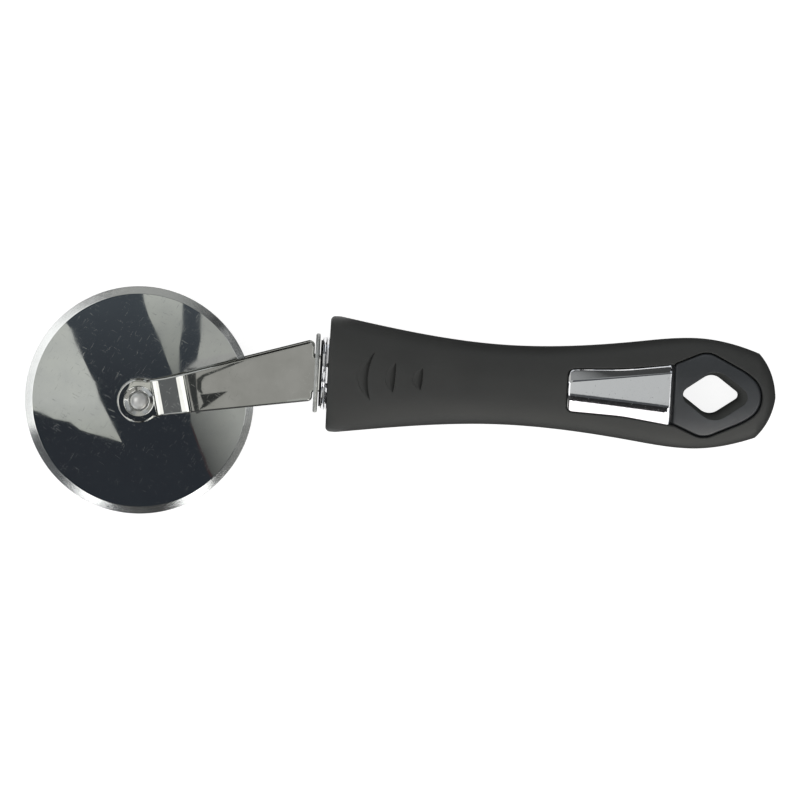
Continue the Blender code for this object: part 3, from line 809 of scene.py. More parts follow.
def arm_outline():
    """The arm's flat outline round the axle, from its pad to the end of its tang."""
    half_angle = math.asin(NECK_HALF_WIDTH / PAD_RADIUS)
    pad = []
    for step in range(PAD_STEPS + 1):
        angle = half_angle + (math.tau - 2 * half_angle) * step / PAD_STEPS
        point = PAD_RADIUS * (math.cos(angle) * ARM_ALONG + math.sin(angle) * ARM_ACROSS)
        pad.append((point.x, point.y, 0))
    neck_upper = ARM_ALONG * NECK_END + ARM_ACROSS * NECK_HALF_WIDTH
    neck_lower = ARM_ALONG * NECK_END - ARM_ACROSS * NECK_HALF_WIDTH
    tang_x = AXLE_TO_HANDLE + TANG_DEPTH
    return rounded(pad + [
        (neck_lower.x, neck_lower.y, NECK_RADIUS),
        (SHOULDER_X, SHOULDER_Y - SHOULDER_HALF_WIDTH, SHOULDER_RADIUS),
        (SHOULDER_X, CRANK_OFFSET - TANG_HALF_WIDTH, TANG_ROOT_RADIUS),
        (tang_x, CRANK_OFFSET - TANG_HALF_WIDTH, TANG_END_RADIUS),
        (tang_x, CRANK_OFFSET + TANG_HALF_WIDTH, TANG_END_RADIUS),
        (SHOULDER_X, CRANK_OFFSET + TANG_HALF_WIDTH, TANG_ROOT_RADIUS),
        (SHOULDER_X, SHOULDER_Y + SHOULDER_HALF_WIDTH, SHOULDER_RADIUS),
        (neck_upper.x, neck_upper.y, NECK_RADIUS),
    ])


def arm_blank(side):
    """The arm's inner face, scored at its bends and joggled."""
    outline = arm_outline()
    if side < 0:
        outline.reverse()
    bm = sheet([(x, y, 0) for x, y in outline])
    for bend in (JOGGLE_START, JOGGLE_END):
        for step in range(BEND_SCORES + 1):
            line = ARM_ALONG * (bend + BEND_LENGTH * (step / BEND_SCORES - 0.5))
            bmesh.ops.bisect_plane(bm, geom=bm.verts[:] + bm.edges[:] + bm.faces[:],
                                   plane_co=(*line, 0), plane_no=(*ARM_ALONG, 0))
    for vert in bm.verts:
        run = vert.co.x * ARM_ALONG.x + vert.co.y * ARM_ALONG.y
        height = side * (PAD_INNER + joggle_height(run))
        vert.co = Vector((AXLE_X + vert.co.x, vert.co.y, TOOL_Z + height))
    return bm


def seat_stations():
    """Heights and radii of the seat's coined hollow, rounded at its floor and at its rim."""
    slope = (PAD_OUTER - SEAT_OUTER) / (SEAT_RADIUS - SEAT_FLOOR_RADIUS)
    stations = [(SEAT_OUTER, SEAT_FLOOR_RADIUS - SEAT_FLOOR_ROUND)]
    stations += [(SEAT_OUTER + SEAT_FLOOR_ROUND * slope * share,
                  SEAT_FLOOR_RADIUS + SEAT_FLOOR_ROUND * share) for share in (0.3, 1)]
    for share in (step / 6 for step in range(7)):
        stations.append((PAD_OUTER - SEAT_RIM_ROUND * slope * (1 - share) ** 2,
                         SEAT_RADIUS - SEAT_RIM_ROUND + 2 * SEAT_RIM_ROUND * share))
    stations.append((PAD_OUTER + OVERRUN, SEAT_RADIUS + SEAT_RIM_ROUND + OVERRUN * 2))
    return stations


def drill(item, x, y, radius):
    reach = ARM_OUTER + OVERRUN
    cut(item, stacked(x, y, [(TOOL_Z - reach, radius), (TOOL_Z + reach, radius)]))


def in_seat(face):
    place = Vector((face.center.x - AXLE_X, face.center.y))
    return place.length < SEAT_RADIUS + SEAT_RIM_ROUND


def on_seat_wall(face):
    height = abs(face.center.z - TOOL_Z)
    return in_seat(face) and SEAT_OUTER - OVERRUN / 2 < height < PAD_OUTER - SEAT_PAINT_MARGIN


def on_painted_shade_edge(face):
    """Whether it is part of the blade's edges that are painted near black: a rougher cut edge, its
    darkness painted shade and painted dark reflection. That is all of the lower edge and the steepest
    of the upper one.
    """
    run = Vector((face.center.x - AXLE_X, face.center.y)).dot(ARM_ALONG)
    upward = face.normal.xy.dot(ARM_ACROSS)
    painted_dark = upward > PAINTED_SHADE_UPPER or upward < PAINTED_SHADE_LOWER
    return painted_dark and run > JOGGLE_END + BEND_LENGTH and not in_seat(face)


def arm(name, side):
    """Joggled blank, thickened outwards, its edges rolled and its seat coined."""
    item = mesh_object(name, arm_blank(side), (ARM_STEEL,))
    if item.data.polygons[0].normal.z * side < 0:
        item.data.flip_normals()
    modified(item, "SOLIDIFY", 35, thickness=SHEET, offset=1, use_even_offset=True)
    soften(item, ARM_EDGE_ROLL, 6, 50)
    boss = SEAT_FLOOR_RADIUS + BOSS_MARGIN
    boss_stations = [(SEAT_INNER, boss),
                     (PAD_INNER + SHEET / 4, boss + (SEAT_RADIUS - SEAT_FLOOR_RADIUS))]
    for stations, operation in ((boss_stations, "UNION"), (seat_stations(), "DIFFERENCE")):
        outwards = [(TOOL_Z + side * height, radius) for height, radius in stations]
        cut(item, stacked(AXLE_X, 0, outwards), operation)
    drill(item, AXLE_X, 0, RIVET_RADIUS + GAP)
    for place in PIN_PLACES:
        drill(item, HANDLE_X + place, CRANK_OFFSET, PIN_HOLE_RADIUS)
    flattened(item)
    item.data.materials.append(SEAT_STEEL)
    item.data.materials.append(SHEARED_EDGE_PAINTED_SHADE)
    paint(item, 1, on_seat_wall)
    # The blade's edges get painted shade
    paint(item, 2, on_painted_shade_edge)
    return item


def slotted(item, start, end, smooth=35):
    """The item with two slots for the arms' tangs."""
    half = TANG_HALF_WIDTH + GAP
    outline = ((start, -half), (end, -half), (end, half), (start, half))
    for side in (1, -1):
        bm = prism(outline, TOOL_Z + side * (ARM_INNER - GAP), TOOL_Z + side * (ARM_OUTER + GAP))
        cut(item, bm, smooth=smooth)
    return item


def flange():
    """Oval plate with rolled edges."""
    middle = (FLANGE_FRONT + FLANGE_BACK) / 2
    half = (FLANGE_BACK - FLANGE_FRONT) / 2
    rings = []
    for sine, cosine in arc(12, -90, 90):
        place = middle + sine * (half - FLANGE_ROLL) + sine * FLANGE_ROLL
        draw = FLANGE_ROLL * (1 - cosine)
        rings.append(oval_ring(place, FLANGE_HALF_WIDTH - draw, FLANGE_HALF_DEPTH - draw))
    item = mesh_object("flange", loft(rings), (FLANGE_STEEL,), 40)
    return slotted(item, FLANGE_FRONT - OVERRUN, FLANGE_BACK + OVERRUN, 40)


def collar():
    """Chrome ferrule: two full rings with a groove between them, and its insert; the deep neck next to
    the flange is painted near black as its shade.
    """
    rings = [(0.0, 1.2), (0.2, 1.2)]
    for start, end in FERRULE_RINGS:
        roll = 0.2 * (end - start)
        rings += [(start + roll * (1 - cosine), 0.8 * (1 - sine)) for sine, cosine in arc(6, 0, 90)]
        rings += [(end - roll * (1 - cosine), 0.8 * (1 - sine)) for sine, cosine in arc(6, 90, 0)]
    stations = [(FERRULE_STUB * (along - 1), FERRULE_GROOVE * draw) for along, draw in rings]
    stations += [(0, 0), (FERRULE_INSERT - GAP, 0), (FERRULE_INSERT, GAP)]
    ovals = [oval_ring(place, FERRULE_HALF_WIDTH - draw, FERRULE_HALF_DEPTH - draw, COLLAR_STEPS)
             for place, draw in stations]
    item = mesh_object("collar", loft(ovals), (CHROME, NECK_PAINTED_SHADE), 40)
    # The deep neck in front of the rings is painted dark as its shade
    paint(item, 1, lambda face: face.center.x < HANDLE_X - FERRULE_STUB * FERRULE_NECK)
    return slotted(item, -FERRULE_STUB - OVERRUN, FERRULE_INSERT + OVERRUN, 40)


def mouth(start, end):
    width = FERRULE_HALF_WIDTH + GAP
    depth = FERRULE_HALF_DEPTH + GAP
    return loft([oval_ring(place, width, depth) for place in (start, end)])


def surface_rings(outline_at, levels):
    """Rings that follow the handle's surface: an offset, a height from it and a side for each."""
    rings = []
    for offset, depth, side in levels:
        rings.append([on_handle(x, y, surface_height(x, y - bow(x), 0, side) + side * depth)
                      for x, y in outline_at(offset)])
    return rings


def at_height(ring, height):
    return [(x, y, height) for x, y, z in ring]


def lip_levels(side):
    """Rounded lip from its full depth up to the surface and a little past it."""
    levels = [(WINDOW_LIP * (1 - cosine), -WINDOW_LIP * (1 - sine), side)
              for sine, cosine in arc(8, 0, 88)]
    return levels + [(WINDOW_LIP + PAST_SURFACE, PAST_SURFACE, side)]


def surround_window():
    centre = Vector((HOLE_PLACE, bow(HOLE_PLACE)))
    base = filled(rounded(offset_corners(surround_corners(), GAP)))
    angles = sorted(math.atan2(y - centre.y, x - centre.x) for x, y in base)

    def outline(offset):
        points = rounded(offset_corners(surround_corners(), GAP + offset))
        return [cast(points, centre, angle) for angle in angles]

    rings = surface_rings(outline, lip_levels(-1)[::-1] + lip_levels(1))
    bottom = at_height(rings[0], -OVERRUN)
    return loft([bottom, *rings, at_height(rings[-1], 2 * FRONT_HALF_DEPTH)])


def badge_window():
    def outline(offset):
        corners = offset_corners(badge_corners(), GAP + offset)
        reach = SURROUND_START + OVERRUN
        corners = [(reach, y, 0) if x > BADGE_END else (x, y, radius) for x, y, radius in corners]
        return resampled(rounded(corners), WINDOW_STEPS)

    rings = surface_rings(outline, lip_levels(1))
    bottom = [on_handle(x, y, middle_height(BADGE_START)) for x, y in outline(0)]
    return loft([bottom, *rings, at_height(rings[-1], 2 * FRONT_HALF_DEPTH)])


def crescent(place, size, sag):
    """A scoop between two arcs: a gentle slope from its left arc, then a deep nick at its right."""
    half_height = CRESCENT_HALF_HEIGHT * size
    width = CRESCENT_WIDTH
    rings = []
    for step in range(SCOOP_STEPS + 1):
        t = 2 * step / SCOOP_STEPS - 1
        y = CRESCENT_SHIFT + half_height * t
        thickness = width * (1 - t * t) + CRESCENT_TIP
        right = place + width + sag * t * t + CRESCENT_LEAN * half_height * t
        left = right - thickness
        fade = 1 - t ** 4
        top = surface_height(place, 0) + OVERRUN
        ring = []
        for share, slope, nick in CRESCENT_PROFILE:
            x = left + thickness * share
            drop = fade * (CRESCENT_SLOPE * slope + (CRESCENT_DEPTH - CRESCENT_SLOPE) * nick)
            ring.append((x, y, surface_height(x, y) - drop))
        ring += [(right, y, top), (left, y, top)]
        rings.append([on_handle(x, y + bow(place), z) for x, y, z in ring])
    return loft(rings)


def grip():
    """Soft sleeve with lipped windows for the badge and the surround, and three thumb scoops."""
    item = mesh_object("grip", handle_form(0), (RUBBER,), 40)
    tools = [handle_form(GRIP_THICKNESS, *COARSE), mouth(-OVERRUN, FERRULE_INSERT),
             surround_window(), badge_window()]
    for index, form in enumerate(CRESCENT_FORMS):
        tools.append(crescent(CRESCENT_PLACE + CRESCENT_PITCH * index, *form))
    for tool in tools:
        cut(item, tool, smooth=40)
    return item


def surround_levels():
    """From the skirt over the rounded edge and the face into the hole: for each ring two
    outlines, the share between them, an inset and a drop under the face."""
    levels = [(0, 0, 0, 0, SURROUND_SKIRT)]
    levels += [(0, 0, 0, SURROUND_EDGE * (1 - cosine), SURROUND_EDGE * (1 - sine))
               for sine, cosine in arc(6, 0, 90)]
    levels += [(0, 1, step / FACE_STEPS, (SURROUND_EDGE - HOLE_LIP) * (1 - step / FACE_STEPS), 0)
               for step in range(1, FACE_STEPS)]
    levels += [(1, 1, 0, HOLE_LIP * (sine - 1), HOLE_LIP * (1 - cosine))
               for sine, cosine in arc(4, 0, 90 - HOLE_DRAFT_START / 2)]
    draft = arc(9, HOLE_DRAFT_START, 90)
    first_sine, first_cosine = draft[0]
    levels += [(1, 2, (sine - first_sine) / (1 - first_sine), 0,
                HOLE_LIP + HOLE_DRAFT_DEPTH * (1 - cosine / first_cosine)) for sine, cosine in draft]
    return levels


def spoke_ring(spokes, side, first, second, share, inset, drop):
    """Points at a share between two outlines, moved on by an inset, at a drop under the face."""
    points = []
    for spoke in spokes:
        run = (spoke[2] - spoke[0]).normalized()
        point = spoke[first].lerp(spoke[second], share) + run * inset
        height = surface_height(point.x, point.y - bow(point.x), SURROUND_RECESS, side)
        points.append(on_handle(point.x, point.y, height - side * drop))
    return points


def hole_surround():
    """The core where it shows: a rounded face either side and the drafted hole through it."""
    centre = Vector((HOLE_PLACE, bow(HOLE_PLACE)))
    flared = [(x + HOLE_FLARE_SHIFT, y, radius)
              for x, y, radius in offset_corners(hole_corners(), HOLE_FLARE)]
    outlines = [filled(rounded(corners)) for corners in (surround_corners(), flared, hole_corners())]
    angles = sorted({round(math.atan2(y - centre.y, x - centre.x), 4)
                     for x, y in outlines[0] + outlines[1]})
    spokes = [[cast(outline, centre, angle) for outline in outlines] for angle in angles]
    levels = surround_levels()
    upper, lower = ([spoke_ring(spokes, side, *level) for level in levels] for side in (1, -1))
    item = mesh_object("hole_surround", loft(upper + lower[::-1], closed=True),
                       (CORE_PLASTIC, WALL_PLASTIC), 40)
    walls = range(WALL_START, 2 * len(levels) - WALL_START - 1)
    paint(item, 1, lambda face: face.index // len(spokes) in walls)
    return item


def core_body():
    """The core under the grip, open at its mouth and round the hole's own walls."""
    item = mesh_object("core_body", handle_form(GRIP_THICKNESS + GAP, *COARSE), (CORE_PLASTIC,), 40)
    cut(item, mouth(-OVERRUN, FERRULE_INSERT + GAP))
    slotted(item, 0, TANG_DEPTH + GAP)
    outline = rounded(offset_corners(hole_corners(), HOLE_WALL))
    return cut(item, prism(outline, -OVERRUN, 2 * FRONT_HALF_DEPTH + OVERRUN))


def badge_edge(place):
    """The badge's upper outline at a place, from the handle's own middle line."""
    points = sorted((x, y) for x, y in rounded(badge_corners()) if y > bow(BADGE_MIDDLE))
    for (x, y), (after_x, after_y) in zip(points, points[1:]):
        if x <= place < after_x:
            return y + (after_y - y) * (place - x) / (after_x - x) - bow(place)
    return (points[0] if place < points[0][0] else points[-1])[1] - bow(place)


def badge_ring(place):
    """Section with three facets, their edges softened, a steeper rim and a chamfer at each end."""
    along = (place - BADGE_START) / (BADGE_END - BADGE_START)
    edge = BADGE_START_HALF_WIDTH + (SURROUND_START_HALF_WIDTH - BADGE_START_HALF_WIDTH) * along
    upper = edge - UPPER_FACET[0] - (UPPER_FACET[1] - UPPER_FACET[0]) * along
    lower = -edge + LOWER_FACET[0] + (LOWER_FACET[1] - LOWER_FACET[0]) * along
    rim = max(badge_edge(place) - BADGE_RIM, upper + FACET_MARGIN)
    first, last = BADGE_CHAMFERS
    ends = max(BADGE_START + first - place, 0) + max(place - BADGE_END + last, 0)
    crown = surface_height(place, 0) + BADGE_RISE - BADGE_CHAMFER_SLOPE * ends
    fall = surface_height(place, 0) + BADGE_RISE - surface_height(place, edge) + BADGE_SINK
    past = edge + OVERRUN
    near = [-1.0, -0.7, -0.45, -0.25, -0.1, 0.1, 0.25, 0.45, 0.7, 1.0]
    ys = [-past + (lower - LOWER_SPAN + past) * step / 4 for step in range(4)]
    ys += [lower + LOWER_SPAN * share for share in near]
    gap = upper - lower - (LOWER_SPAN + UPPER_SPAN)
    ys += [lower + LOWER_SPAN + gap * step / 4 for step in range(1, 4)]
    ys += [upper + UPPER_SPAN * share for share in near]
    ys += [upper + UPPER_SPAN + (rim - upper - UPPER_SPAN) * share for share in (0.4, 0.7, 0.94)]
    ys += [rim + BADGE_RIM * share for share in (0.08, 0.5, 1.0)] + [past]

    def soft(distance, softness):
        return (distance + math.sqrt(distance * distance + softness ** 2)) / 2

    def drop(y):
        low = fall / (edge + lower) * soft(lower - y, LOWER_SOFTNESS * (0.8 + 0.4 * along))
        high = fall / (edge - upper) * soft(y - upper, UPPER_SOFTNESS)
        return low + high + BADGE_RIM_SLOPE * max(y - rim, 0)

    base = middle_height(BADGE_START)
    points = [(y, crown - drop(y)) for y in ys]
    points += [(past, base), (-past, base)]
    return [on_handle(place, y + bow(place), z) for y, z in points]


def badge():
    """Bare three-faceted plate with rolled edges, on two pegs."""
    first, last = BADGE_CHAMFERS
    start = BADGE_START + first + CHAMFER_ROUND
    span = BADGE_END - last - CHAMFER_ROUND - start
    stations = [BADGE_START - OVERRUN, BADGE_START, BADGE_START + first - CHAMFER_ROUND]
    stations += [start + span * step / BADGE_STEPS for step in range(BADGE_STEPS + 1)]
    stations += [BADGE_END - last + CHAMFER_ROUND, BADGE_END, BADGE_END + OVERRUN]
    item = mesh_object("badge", loft([badge_ring(place) for place in stations]), (CHROME,), 30)
    plate = prism(rounded(badge_corners()), 0, 2 * FRONT_HALF_DEPTH)
    merged(cut(item, plate, "INTERSECT", 30))
    soften(item, BADGE_EDGE, 3, 60)
    merged(cut(item, handle_form(GRIP_THICKNESS, *COARSE), smooth=30))
    for place in (BADGE_START + PEG_INSET, BADGE_END - PEG_INSET):
        seat = surface_height(place, 0) - GRIP_THICKNESS - GAP
        x, y, bottom = on_handle(place, bow(place), seat - PEG_LENGTH)
        peg = stacked(x, y, [(bottom, PEG_RADIUS), (seat + GRIP_THICKNESS, PEG_RADIUS)])
        cut(item, peg, "UNION", 30)
    return flattened(item, 30)


def build_pieces():
    """Makes the pieces, attaches each to its body and hides the CAD node that it replaces; the table
    also lists a slot name for each.
    """
    for item, body, slot_name, node in (
            (wheel_disc(), "wheel", "wheel_steel", "cutting_wheel"),
            (rivet(), "handle", "rivet_steel", "axle_rivet"),
            (arm("arm_front", 1), "handle", "arm_steel", "front_arm"),
            (arm("arm_rear", -1), "handle", "arm_steel", "rear_arm"),
            (flange(), "handle", "rivet_steel", "flange_plate"),
            (collar(), "handle", "collar_chrome", "ferrule"),
            (grip(), "handle", "grip_rubber", "soft_grip"),
            (hole_surround(), "handle", "core_plastic", "handle_core"),
            (core_body(), "handle", "core_plastic", "handle_core"),
            (badge(), "handle", "badge_chrome", "badge_plate")):
        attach(item, body)
        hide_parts(node)
    for name in ("hub_sleeve", "tang_pin_front", "tang_pin_rear"):
        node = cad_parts[name]
        node.data.materials.clear()
        node.data.materials.append(HIDDEN_STEEL)


# Camera: nearly straight down, leaning towards the wheel side's top edge

CAMERA_TARGET = Vector((0.0, 3.78 * MM, 8.0 * MM))
CAMERA_DISTANCE = 1300 * MM
CAMERA_TILT_X = -0.70
CAMERA_TILT_Y = 5.30
CAMERA_ROLL = -3.11
CAMERA_LENS = 205.0


def make_camera():
    lean = Vector((math.tan(math.radians(CAMERA_TILT_X)), math.tan(math.radians(CAMERA_TILT_Y)), 1))
    away = lean.normalized()
    roll = math.radians(CAMERA_ROLL)
    up = Vector((math.sin(roll), math.cos(roll), 0))
    right = up.cross(away).normalized()
    top = away.cross(right)
    data = bpy.data.cameras.new("camera")
    data.lens = CAMERA_LENS
    data.sensor_width = 36.0
    data.clip_end = 50.0
    camera = new_object("camera", data)
    turn = Matrix((right, top, away)).transposed()
    camera.matrix_world = turn.to_4x4()
    camera.location = CAMERA_TARGET + away * CAMERA_DISTANCE
    bpy.context.scene.camera = camera
    return camera.location.copy(), right


# Studio

CARD_HEIGHT = 450 * MM
CARD_STEP = 5 * MM
FLOOR_HALF = 12.0
FLOOR_DROP = 0.02 * MM
FLOOR_COLOUR = 0.4
FLOOR_GLOW = 0.86
AMBIENT = 0.75
WHITE = (1.0, 1.0, 1.0, 1.0)

# Cards that the flat steel mirrors: a layer, an outline in shares of the wheel's radius from its
# middle (right and up), and a light: a colour or a grey, or two of them, the direction in which
# the first goes over into the second, and the stretch of the card over which it does
CARDS = (
    ("ceiling", 2, ((-1.5, -1.4), (1.0, -1.4), (1.0, 1.4), (-1.5, 1.4)),
     (0.034, 0.04, 0.05), (0.075, 0.088, 0.104), (0, 1), (0.5, 0.8)),
    ("handle_sheet", 1.5, ((1.0, -0.6), (8.0, -0.6), (8.0, 1.9), (1.0, 1.9)),
     (0.61, 0.625, 0.62), (0.5, 0.515, 0.515), (1, 0), (0.6, 0.78)),
    ("left_sheet", 1,
     ((-0.72, 0.78), (-0.614, 0.65), (-0.405, 0.188), (-0.385, 0.165), (-0.344, 0.013),
      (-0.152, -0.367), (-0.274, -0.327), (-0.44, -0.284), (-0.518, -0.257), (-0.606, -0.188),
      (-0.745, -0.161), (-0.911, -0.109), (-1.12, -0.07), (-1.12, 0.5)),
     (0.52, 0.535, 0.505), (0.69, 0.705, 0.68), (0, 1), (0.05, 0.3)),
    ("upper_wedge", 1,
     ((0.035, 1.08), (0.053, 0.903), (0.085, 0.746), (0.185, 0.537), (0.25, 0.345), (0.3, 0.22),
      (0.354, 0.24), (0.354, 0.467), (0.38, 0.624), (0.407, 0.842), (0.44, 1.08)),
     (0.29, 0.3, 0.285), (0.66, 0.68, 0.65), (0, 1)),
    ("right_sheet", 1,
     ((0.62, 1.0), (0.572, 0.729), (0.538, 0.519), (0.494, 0.284), (0.455, 0.2), (0.455, 0.05),
      (1.3, 0.25), (1.3, 1.4)),
     (0.51, 0.52, 0.5), (0.53, 0.54, 0.51)),
    ("low_wedge", 1,
     ((0.45, 0.06), (0.45, -0.18), (0.531, -0.406), (0.628, -0.62), (0.69, -0.72), (0.85, -0.95),
      (1.3, -0.95), (1.3, 0.26)),
     (0.05, 0.053, 0.055), (0.48, 0.49, 0.47), (1, 1), (0.41, 1.16)),
    ("warm_edge", 0,
     ((0.455, -0.2), (0.531, -0.406), (0.628, -0.62), (0.69, -0.72), (0.67, -0.73),
      (0.608, -0.627), (0.517, -0.415), (0.445, -0.2)), (0.06, 0.042, 0.046)),
    ("blade_sheet", 0.5,
     ((0.395, 0.26), (0.43, -0.11), (1.6, 0.04), (1.6, 0.64), (0.5, 0.35), (0.44, 0.3)),
     (0.5, 0.5, 0.49)),
    ("blade_band", 0,
     ((0.418, 0.285), (0.498, 0.285), (0.508, 0.13), (0.536, -0.105), (0.5, -0.12), (0.455, 0.08)),
     (0.06, 0.065, 0.068)),
    ("blade_hook", 0,
     ((1.03, 0.455), (0.905, 0.408), (0.72, 0.324), (0.56, 0.268), (0.508, 0.224), (0.512, 0.12),
      (0.55, 0.075), (0.565, 0.085), (0.55, 0.12), (0.55, 0.2), (0.575, 0.245), (0.72, 0.305),
      (0.905, 0.38)), (0.07, 0.075, 0.075)),
    ("blade_blob", 0,
     ((0.54, 0.07), (0.58, 0.072), (0.78, 0.098), (0.66, 0.0), (0.6, -0.05), (0.535, -0.085),
      (0.57, -0.02)), (0.05, 0.053, 0.055)),
    ("pad_sheet", 0,
     ((-0.07, 0.185), (0.1, 0.185), (0.112, 0.03), (0.02, 0.0), (-0.11, 0.06)),
     (0.8, 0.81, 0.77)),
)

# Cards that the sloping and rolled faces mirror: the axis that each stands across and its place
# on it, two ranges or some corners on the other axes, and a light. One without an axis slopes,
# and has whole corners. All in metres.
PANELS = (
    ("top_panel", "z", 0.95, ((-0.25, 0.11), (0.19, 0.5)), (0.55, 0.56, 0.55), (0.5, 0.51, 0.5)),
    ("right_panel", "z", 0.95, ((0.24, -0.1), (0.45, -0.12), (0.45, 0.14), (0.24, 0.07)),
     (0.36, 0.37, 0.36), (0.52, 0.53, 0.52), (0, 1)),
    ("end_panel", "z", 0.95, ((0.5, 0.8), (-0.2, 0.1)), 1.2),
    ("badge_panel", "z", 0.2, ((0.05, 0.16), (-0.17, -0.108)), (1.7, 1.63, 1.64)),
    ("tail_panel", "z", 0.3, ((0.03, 0.28), (-0.5, -0.18)), (2.1, 2.05, 1.95), (3.8, 3.7, 3.5)),
    ("bend_card", "z", 0.9, ((-0.25, -0.085), (-0.69, -0.185), (-0.69, -0.285), (-0.25, -0.15)),
     1.8),
    ("ramp_edge_card", "y", -0.3, ((-0.4, -0.17), (0.0, 0.19)), 1.3),
    ("seat_panel", "y", -0.29, ((-0.13, -0.055), (0.15, 0.34)), (0.66, 0.66, 0.64)),
    ("seat_flag", "x", -0.4, ((-0.2, 0.0), (0.17, 0.34)), 0.05),
    ("arm_low_flag", "z", 0.4, ((-0.12, -0.01), (-0.3, -0.1)), 0.07),
    ("left_panel", "x", -0.6, ((-0.12, 0.2), (0.05, 0.45)), 1.3),
    ("upper_flag", "", 0, ((0.0, 0.14, 0.062), (0.4, 0.14, 0.062), (0.4, 0.5, 0.4), (0.0, 0.5, 0.4)),
     (0.015, 0.016, 0.018)),
    ("rim_strip", "y", 0.139, ((0.0, 0.2), (0.064, 0.092)), 1.2),
    ("facet_panel", "z", 0.3, ((0.04, 0.13), (0.17, 0.4)),
     (0.3, 0.31, 0.31), (0.06, 0.062, 0.062), (0, 1), (0.1, 0.32)),
    ("transition_flag", "z", 0.202, ((0.05, 0.126), (-0.107, -0.035)), (0.02, 0.02, 0.021)),
    ("tail_low_panel", "y", -0.22, ((0.03, 0.2), (0.0, 0.15)), (1.6, 1.56, 1.47), (4.6, 4.5, 4.25)),
    ("seat_side_card", "x", 0.0, ((-0.33, 0.07), (-0.015, 0.06), (-0.015, 0.11), (-0.12, 0.165),
                                  (-0.2, 0.22), (-0.33, 0.24)), (0.45, 0.45, 0.43)),
    ("seat_left_card", "x", -0.4, ((0.0, 0.3), (0.1, 0.36)), (0.45, 0.45, 0.43)),
    ("badge_strip", "z", 0.2, ((-0.012, 0.014), (-0.035, 0.02)), 1.5),
    ("insert_panel", "z", 0.201, ((0.1085, -0.17), (0.2, -0.17), (0.2, -0.03), (0.126, -0.03),
                                  (0.126, -0.1), (0.1085, -0.1)), 4.8, 1.6),
    ("seat_back_card", "z", 0.4, ((-0.28, -0.02), (0.19, 0.5)), (0.6, 0.6, 0.58)),
    ("arm_flag", "y", -0.3, ((-0.13, 0.0), (0.0, 0.36)), 0.02),
    ("arm_top_flag", "y", 0.3, ((-0.16, -0.03), (0.0, 0.24)), 0.02),
    ("floor_flag", "z", 0.001, ((-0.015, 0.3), (-0.03, 0.5)), 0.03),
    ("wheel_flag", "z", 0.0008, ((-0.13, -0.028), (-0.2, 0.2)), 0.03),
    ("end_flag", "", 0, ((0.3, -0.4, 0.0), (0.3, 0.5, 0.0), (0.34, 0.5, 0.3), (0.34, -0.4, 0.3)),
     0.03),
)

# Strips over the collar from the handle's far side to its near one: two distances and a level
COLLAR_STRIPS = ((400, 66, 0.6), (66, 43, 0.03), (43, -38, 1.3), (-38, -71, 0.02), (-71, -115, 1.2))
STRIP_HEIGHT = 130 * MM
STRIP_ENDS = (-24.8 * MM, -17.0 * MM)

# What mirrors see of the sky, from below to above: a share of the way up and a level
SKY_STOPS = ((0.0, 1.0), (0.22, 0.85), (0.5, 0.7), (0.62, 0.64), (0.72, 0.34), (0.8, 0.17),
             (0.93, 0.1), (1.0, 0.06))

# Soft boxes: place, size and power
LAMPS = (
    ("left_box", (-0.445, 0.055, 0.9), (0.44, 0.45), 1.05),
    ("corner_box", (-0.285, -0.45, 0.9), (0.12, 0.22), 0.32),
    ("low_box", (0.1375, -0.46, 0.9), (0.125, 0.23), 0.42),
)


def glow(name, low, high=None, direction=(1, 0), stretch=(0, 1)):
    """Light of one colour or grey, or of two that go over into each other across the card."""
    low, high = (light if isinstance(light, tuple) else (light, light, light)
                 for light in (low, low if high is None else high))
    n = new_material(name)
    n.tree.nodes.remove(n.shader)
    generated = n.add("TexCoord", {}).outputs["Generated"]
    run = n.vector("DOT_PRODUCT", generated, (*direction, 0), "Value")
    emission = n.add("Emission", {"Color": n.blend(n.spread(run, *stretch), low, high)})
    n.join(n.tree.nodes["Material Output"], {"Surface": emission.outputs["Emission"]})
    return n.owner


def mirrored_point(camera, right, share_x, share_y, height):
    """Where a card must have a point for the wheel to mirror it at these shares of its radius."""
    axle = Vector((AXLE_X, 0, TOOL_Z))
    flat_right = Vector((right.x, right.y, 0)).normalized()
    flat_top = Vector((-flat_right.y, flat_right.x, 0))
    on_wheel = axle + (flat_right * share_x + flat_top * share_y) * WHEEL_RADIUS
    away = on_wheel - camera
    return on_wheel + Vector((away.x, away.y, -away.z)) * (height / -away.z)


def flat_points(axis, place, outline):
    """World corners of a flat card from two ranges or from its corners."""
    if not axis:
        return outline
    if len(outline) == 2:
        (left, right), (low, high) = outline
        outline = ((left, low), (right, low), (right, high), (left, high))
    slot = "xyz".index(axis)
    return [(*corner[:slot], place, *corner[slot:]) for corner in outline]


def card(name, points, light):
    """A flat card that only mirrors see."""
    item = mesh_object(name, sheet(points), (glow(name, *light),))
    for ray in ("camera", "diffuse", "transmission", "volume_scatter", "shadow"):
        setattr(item, "visible_" + ray, False)


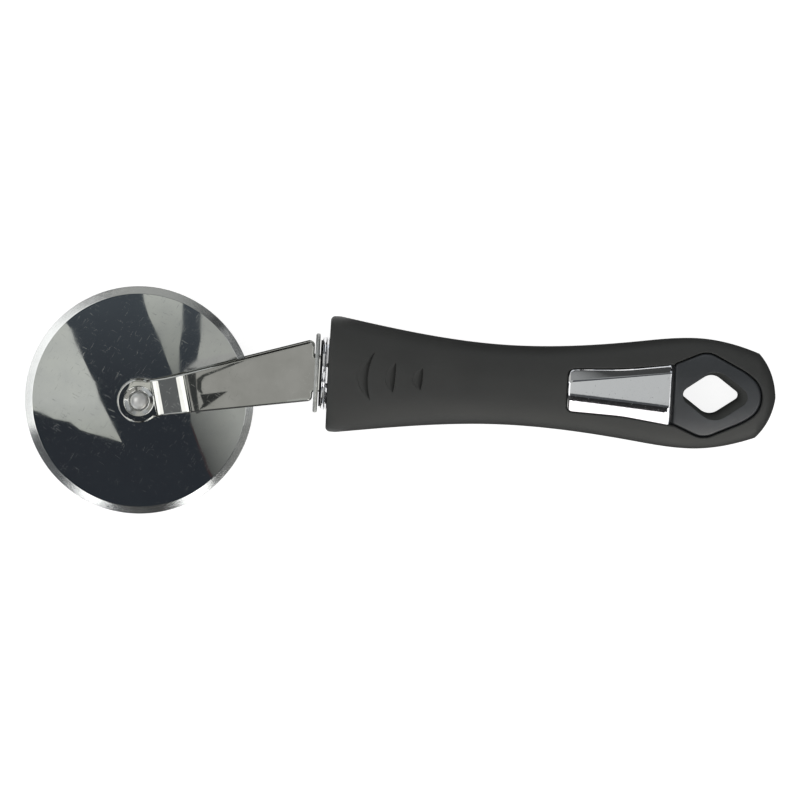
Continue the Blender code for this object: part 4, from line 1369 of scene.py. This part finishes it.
def hang_cards(camera, right):
    for name, layer, shares, *light in CARDS:
        height = CARD_HEIGHT + layer * CARD_STEP
        card(name, [mirrored_point(camera, right, x, y, height) for x, y in shares], light)
    for name, axis, place, outline, *light in PANELS:
        card(name, flat_points(axis, place, outline), light)
    for index, (far, near, level) in enumerate(COLLAR_STRIPS):
        outline = (STRIP_ENDS, (near * MM, far * MM))
        card(f"collar_strip_{index}", flat_points("z", STRIP_HEIGHT, outline), (level,))


def soft_box(name, location, size, power):
    data = bpy.data.lights.new(name, "AREA")
    data.shape = "RECTANGLE"
    data.size, data.size_y = size
    data.energy = power
    new_object(name, data).location = location


def make_floor():
    """White sweep that glows a little to the camera and keeps the shadow."""
    n = new_material("floor_white")
    n.join(n.shader, {
        "Base Color": (FLOOR_COLOUR, FLOOR_COLOUR, FLOOR_COLOUR, 1.0),
        "Roughness": 0.9,
        "Specular IOR Level": 0.0,
        "Emission Color": WHITE,
        "Emission Strength": n.math("MULTIPLY", n.seen_ray(), FLOOR_GLOW),
    })
    span = (-FLOOR_HALF, FLOOR_HALF)
    item = mesh_object("floor", sheet(flat_points("z", 0, (span, span))), (n.owner,))
    item.location.z = -FLOOR_DROP


def make_world():
    """White all round to the camera, a dark ceiling to mirrors, and an even glow to the rest."""
    world = bpy.data.worlds.new("studio")
    bpy.context.scene.world = world
    n = Nodes(world)
    n.tree.nodes.clear()
    split = n.add("SeparateXYZ", {"Vector": n.add("TexCoord", {}).outputs["Generated"]})
    ramp = n.add("ValToRGB", {"Fac": split.outputs["Z"]})
    elements = ramp.color_ramp.elements
    while len(elements) < len(SKY_STOPS):
        elements.new(0.5)
    for element, (place, level) in zip(elements, SKY_STOPS):
        element.position = place
        element.color = (level, level * 1.05, level * 1.12, 1.0)
    mirror_sky = n.add("Background", {"Color": ramp.outputs["Color"]})
    even_sky = n.add("Background", {"Color": WHITE, "Strength": AMBIENT})
    mix = n.add("MixShader", {"Fac": n.seen_ray(), 1: even_sky.outputs["Background"],
                              2: mirror_sky.outputs["Background"]})
    n.add("OutputWorld", {"Surface": mix.outputs["Shader"]})


def make_studio(camera, right):
    make_world()
    make_floor()
    hang_cards(camera, right)
    for lamp in LAMPS:
        soft_box(*lamp)


build_pieces()
make_studio(*make_camera())
bpy.context.scene.view_settings.view_transform = "Standard"
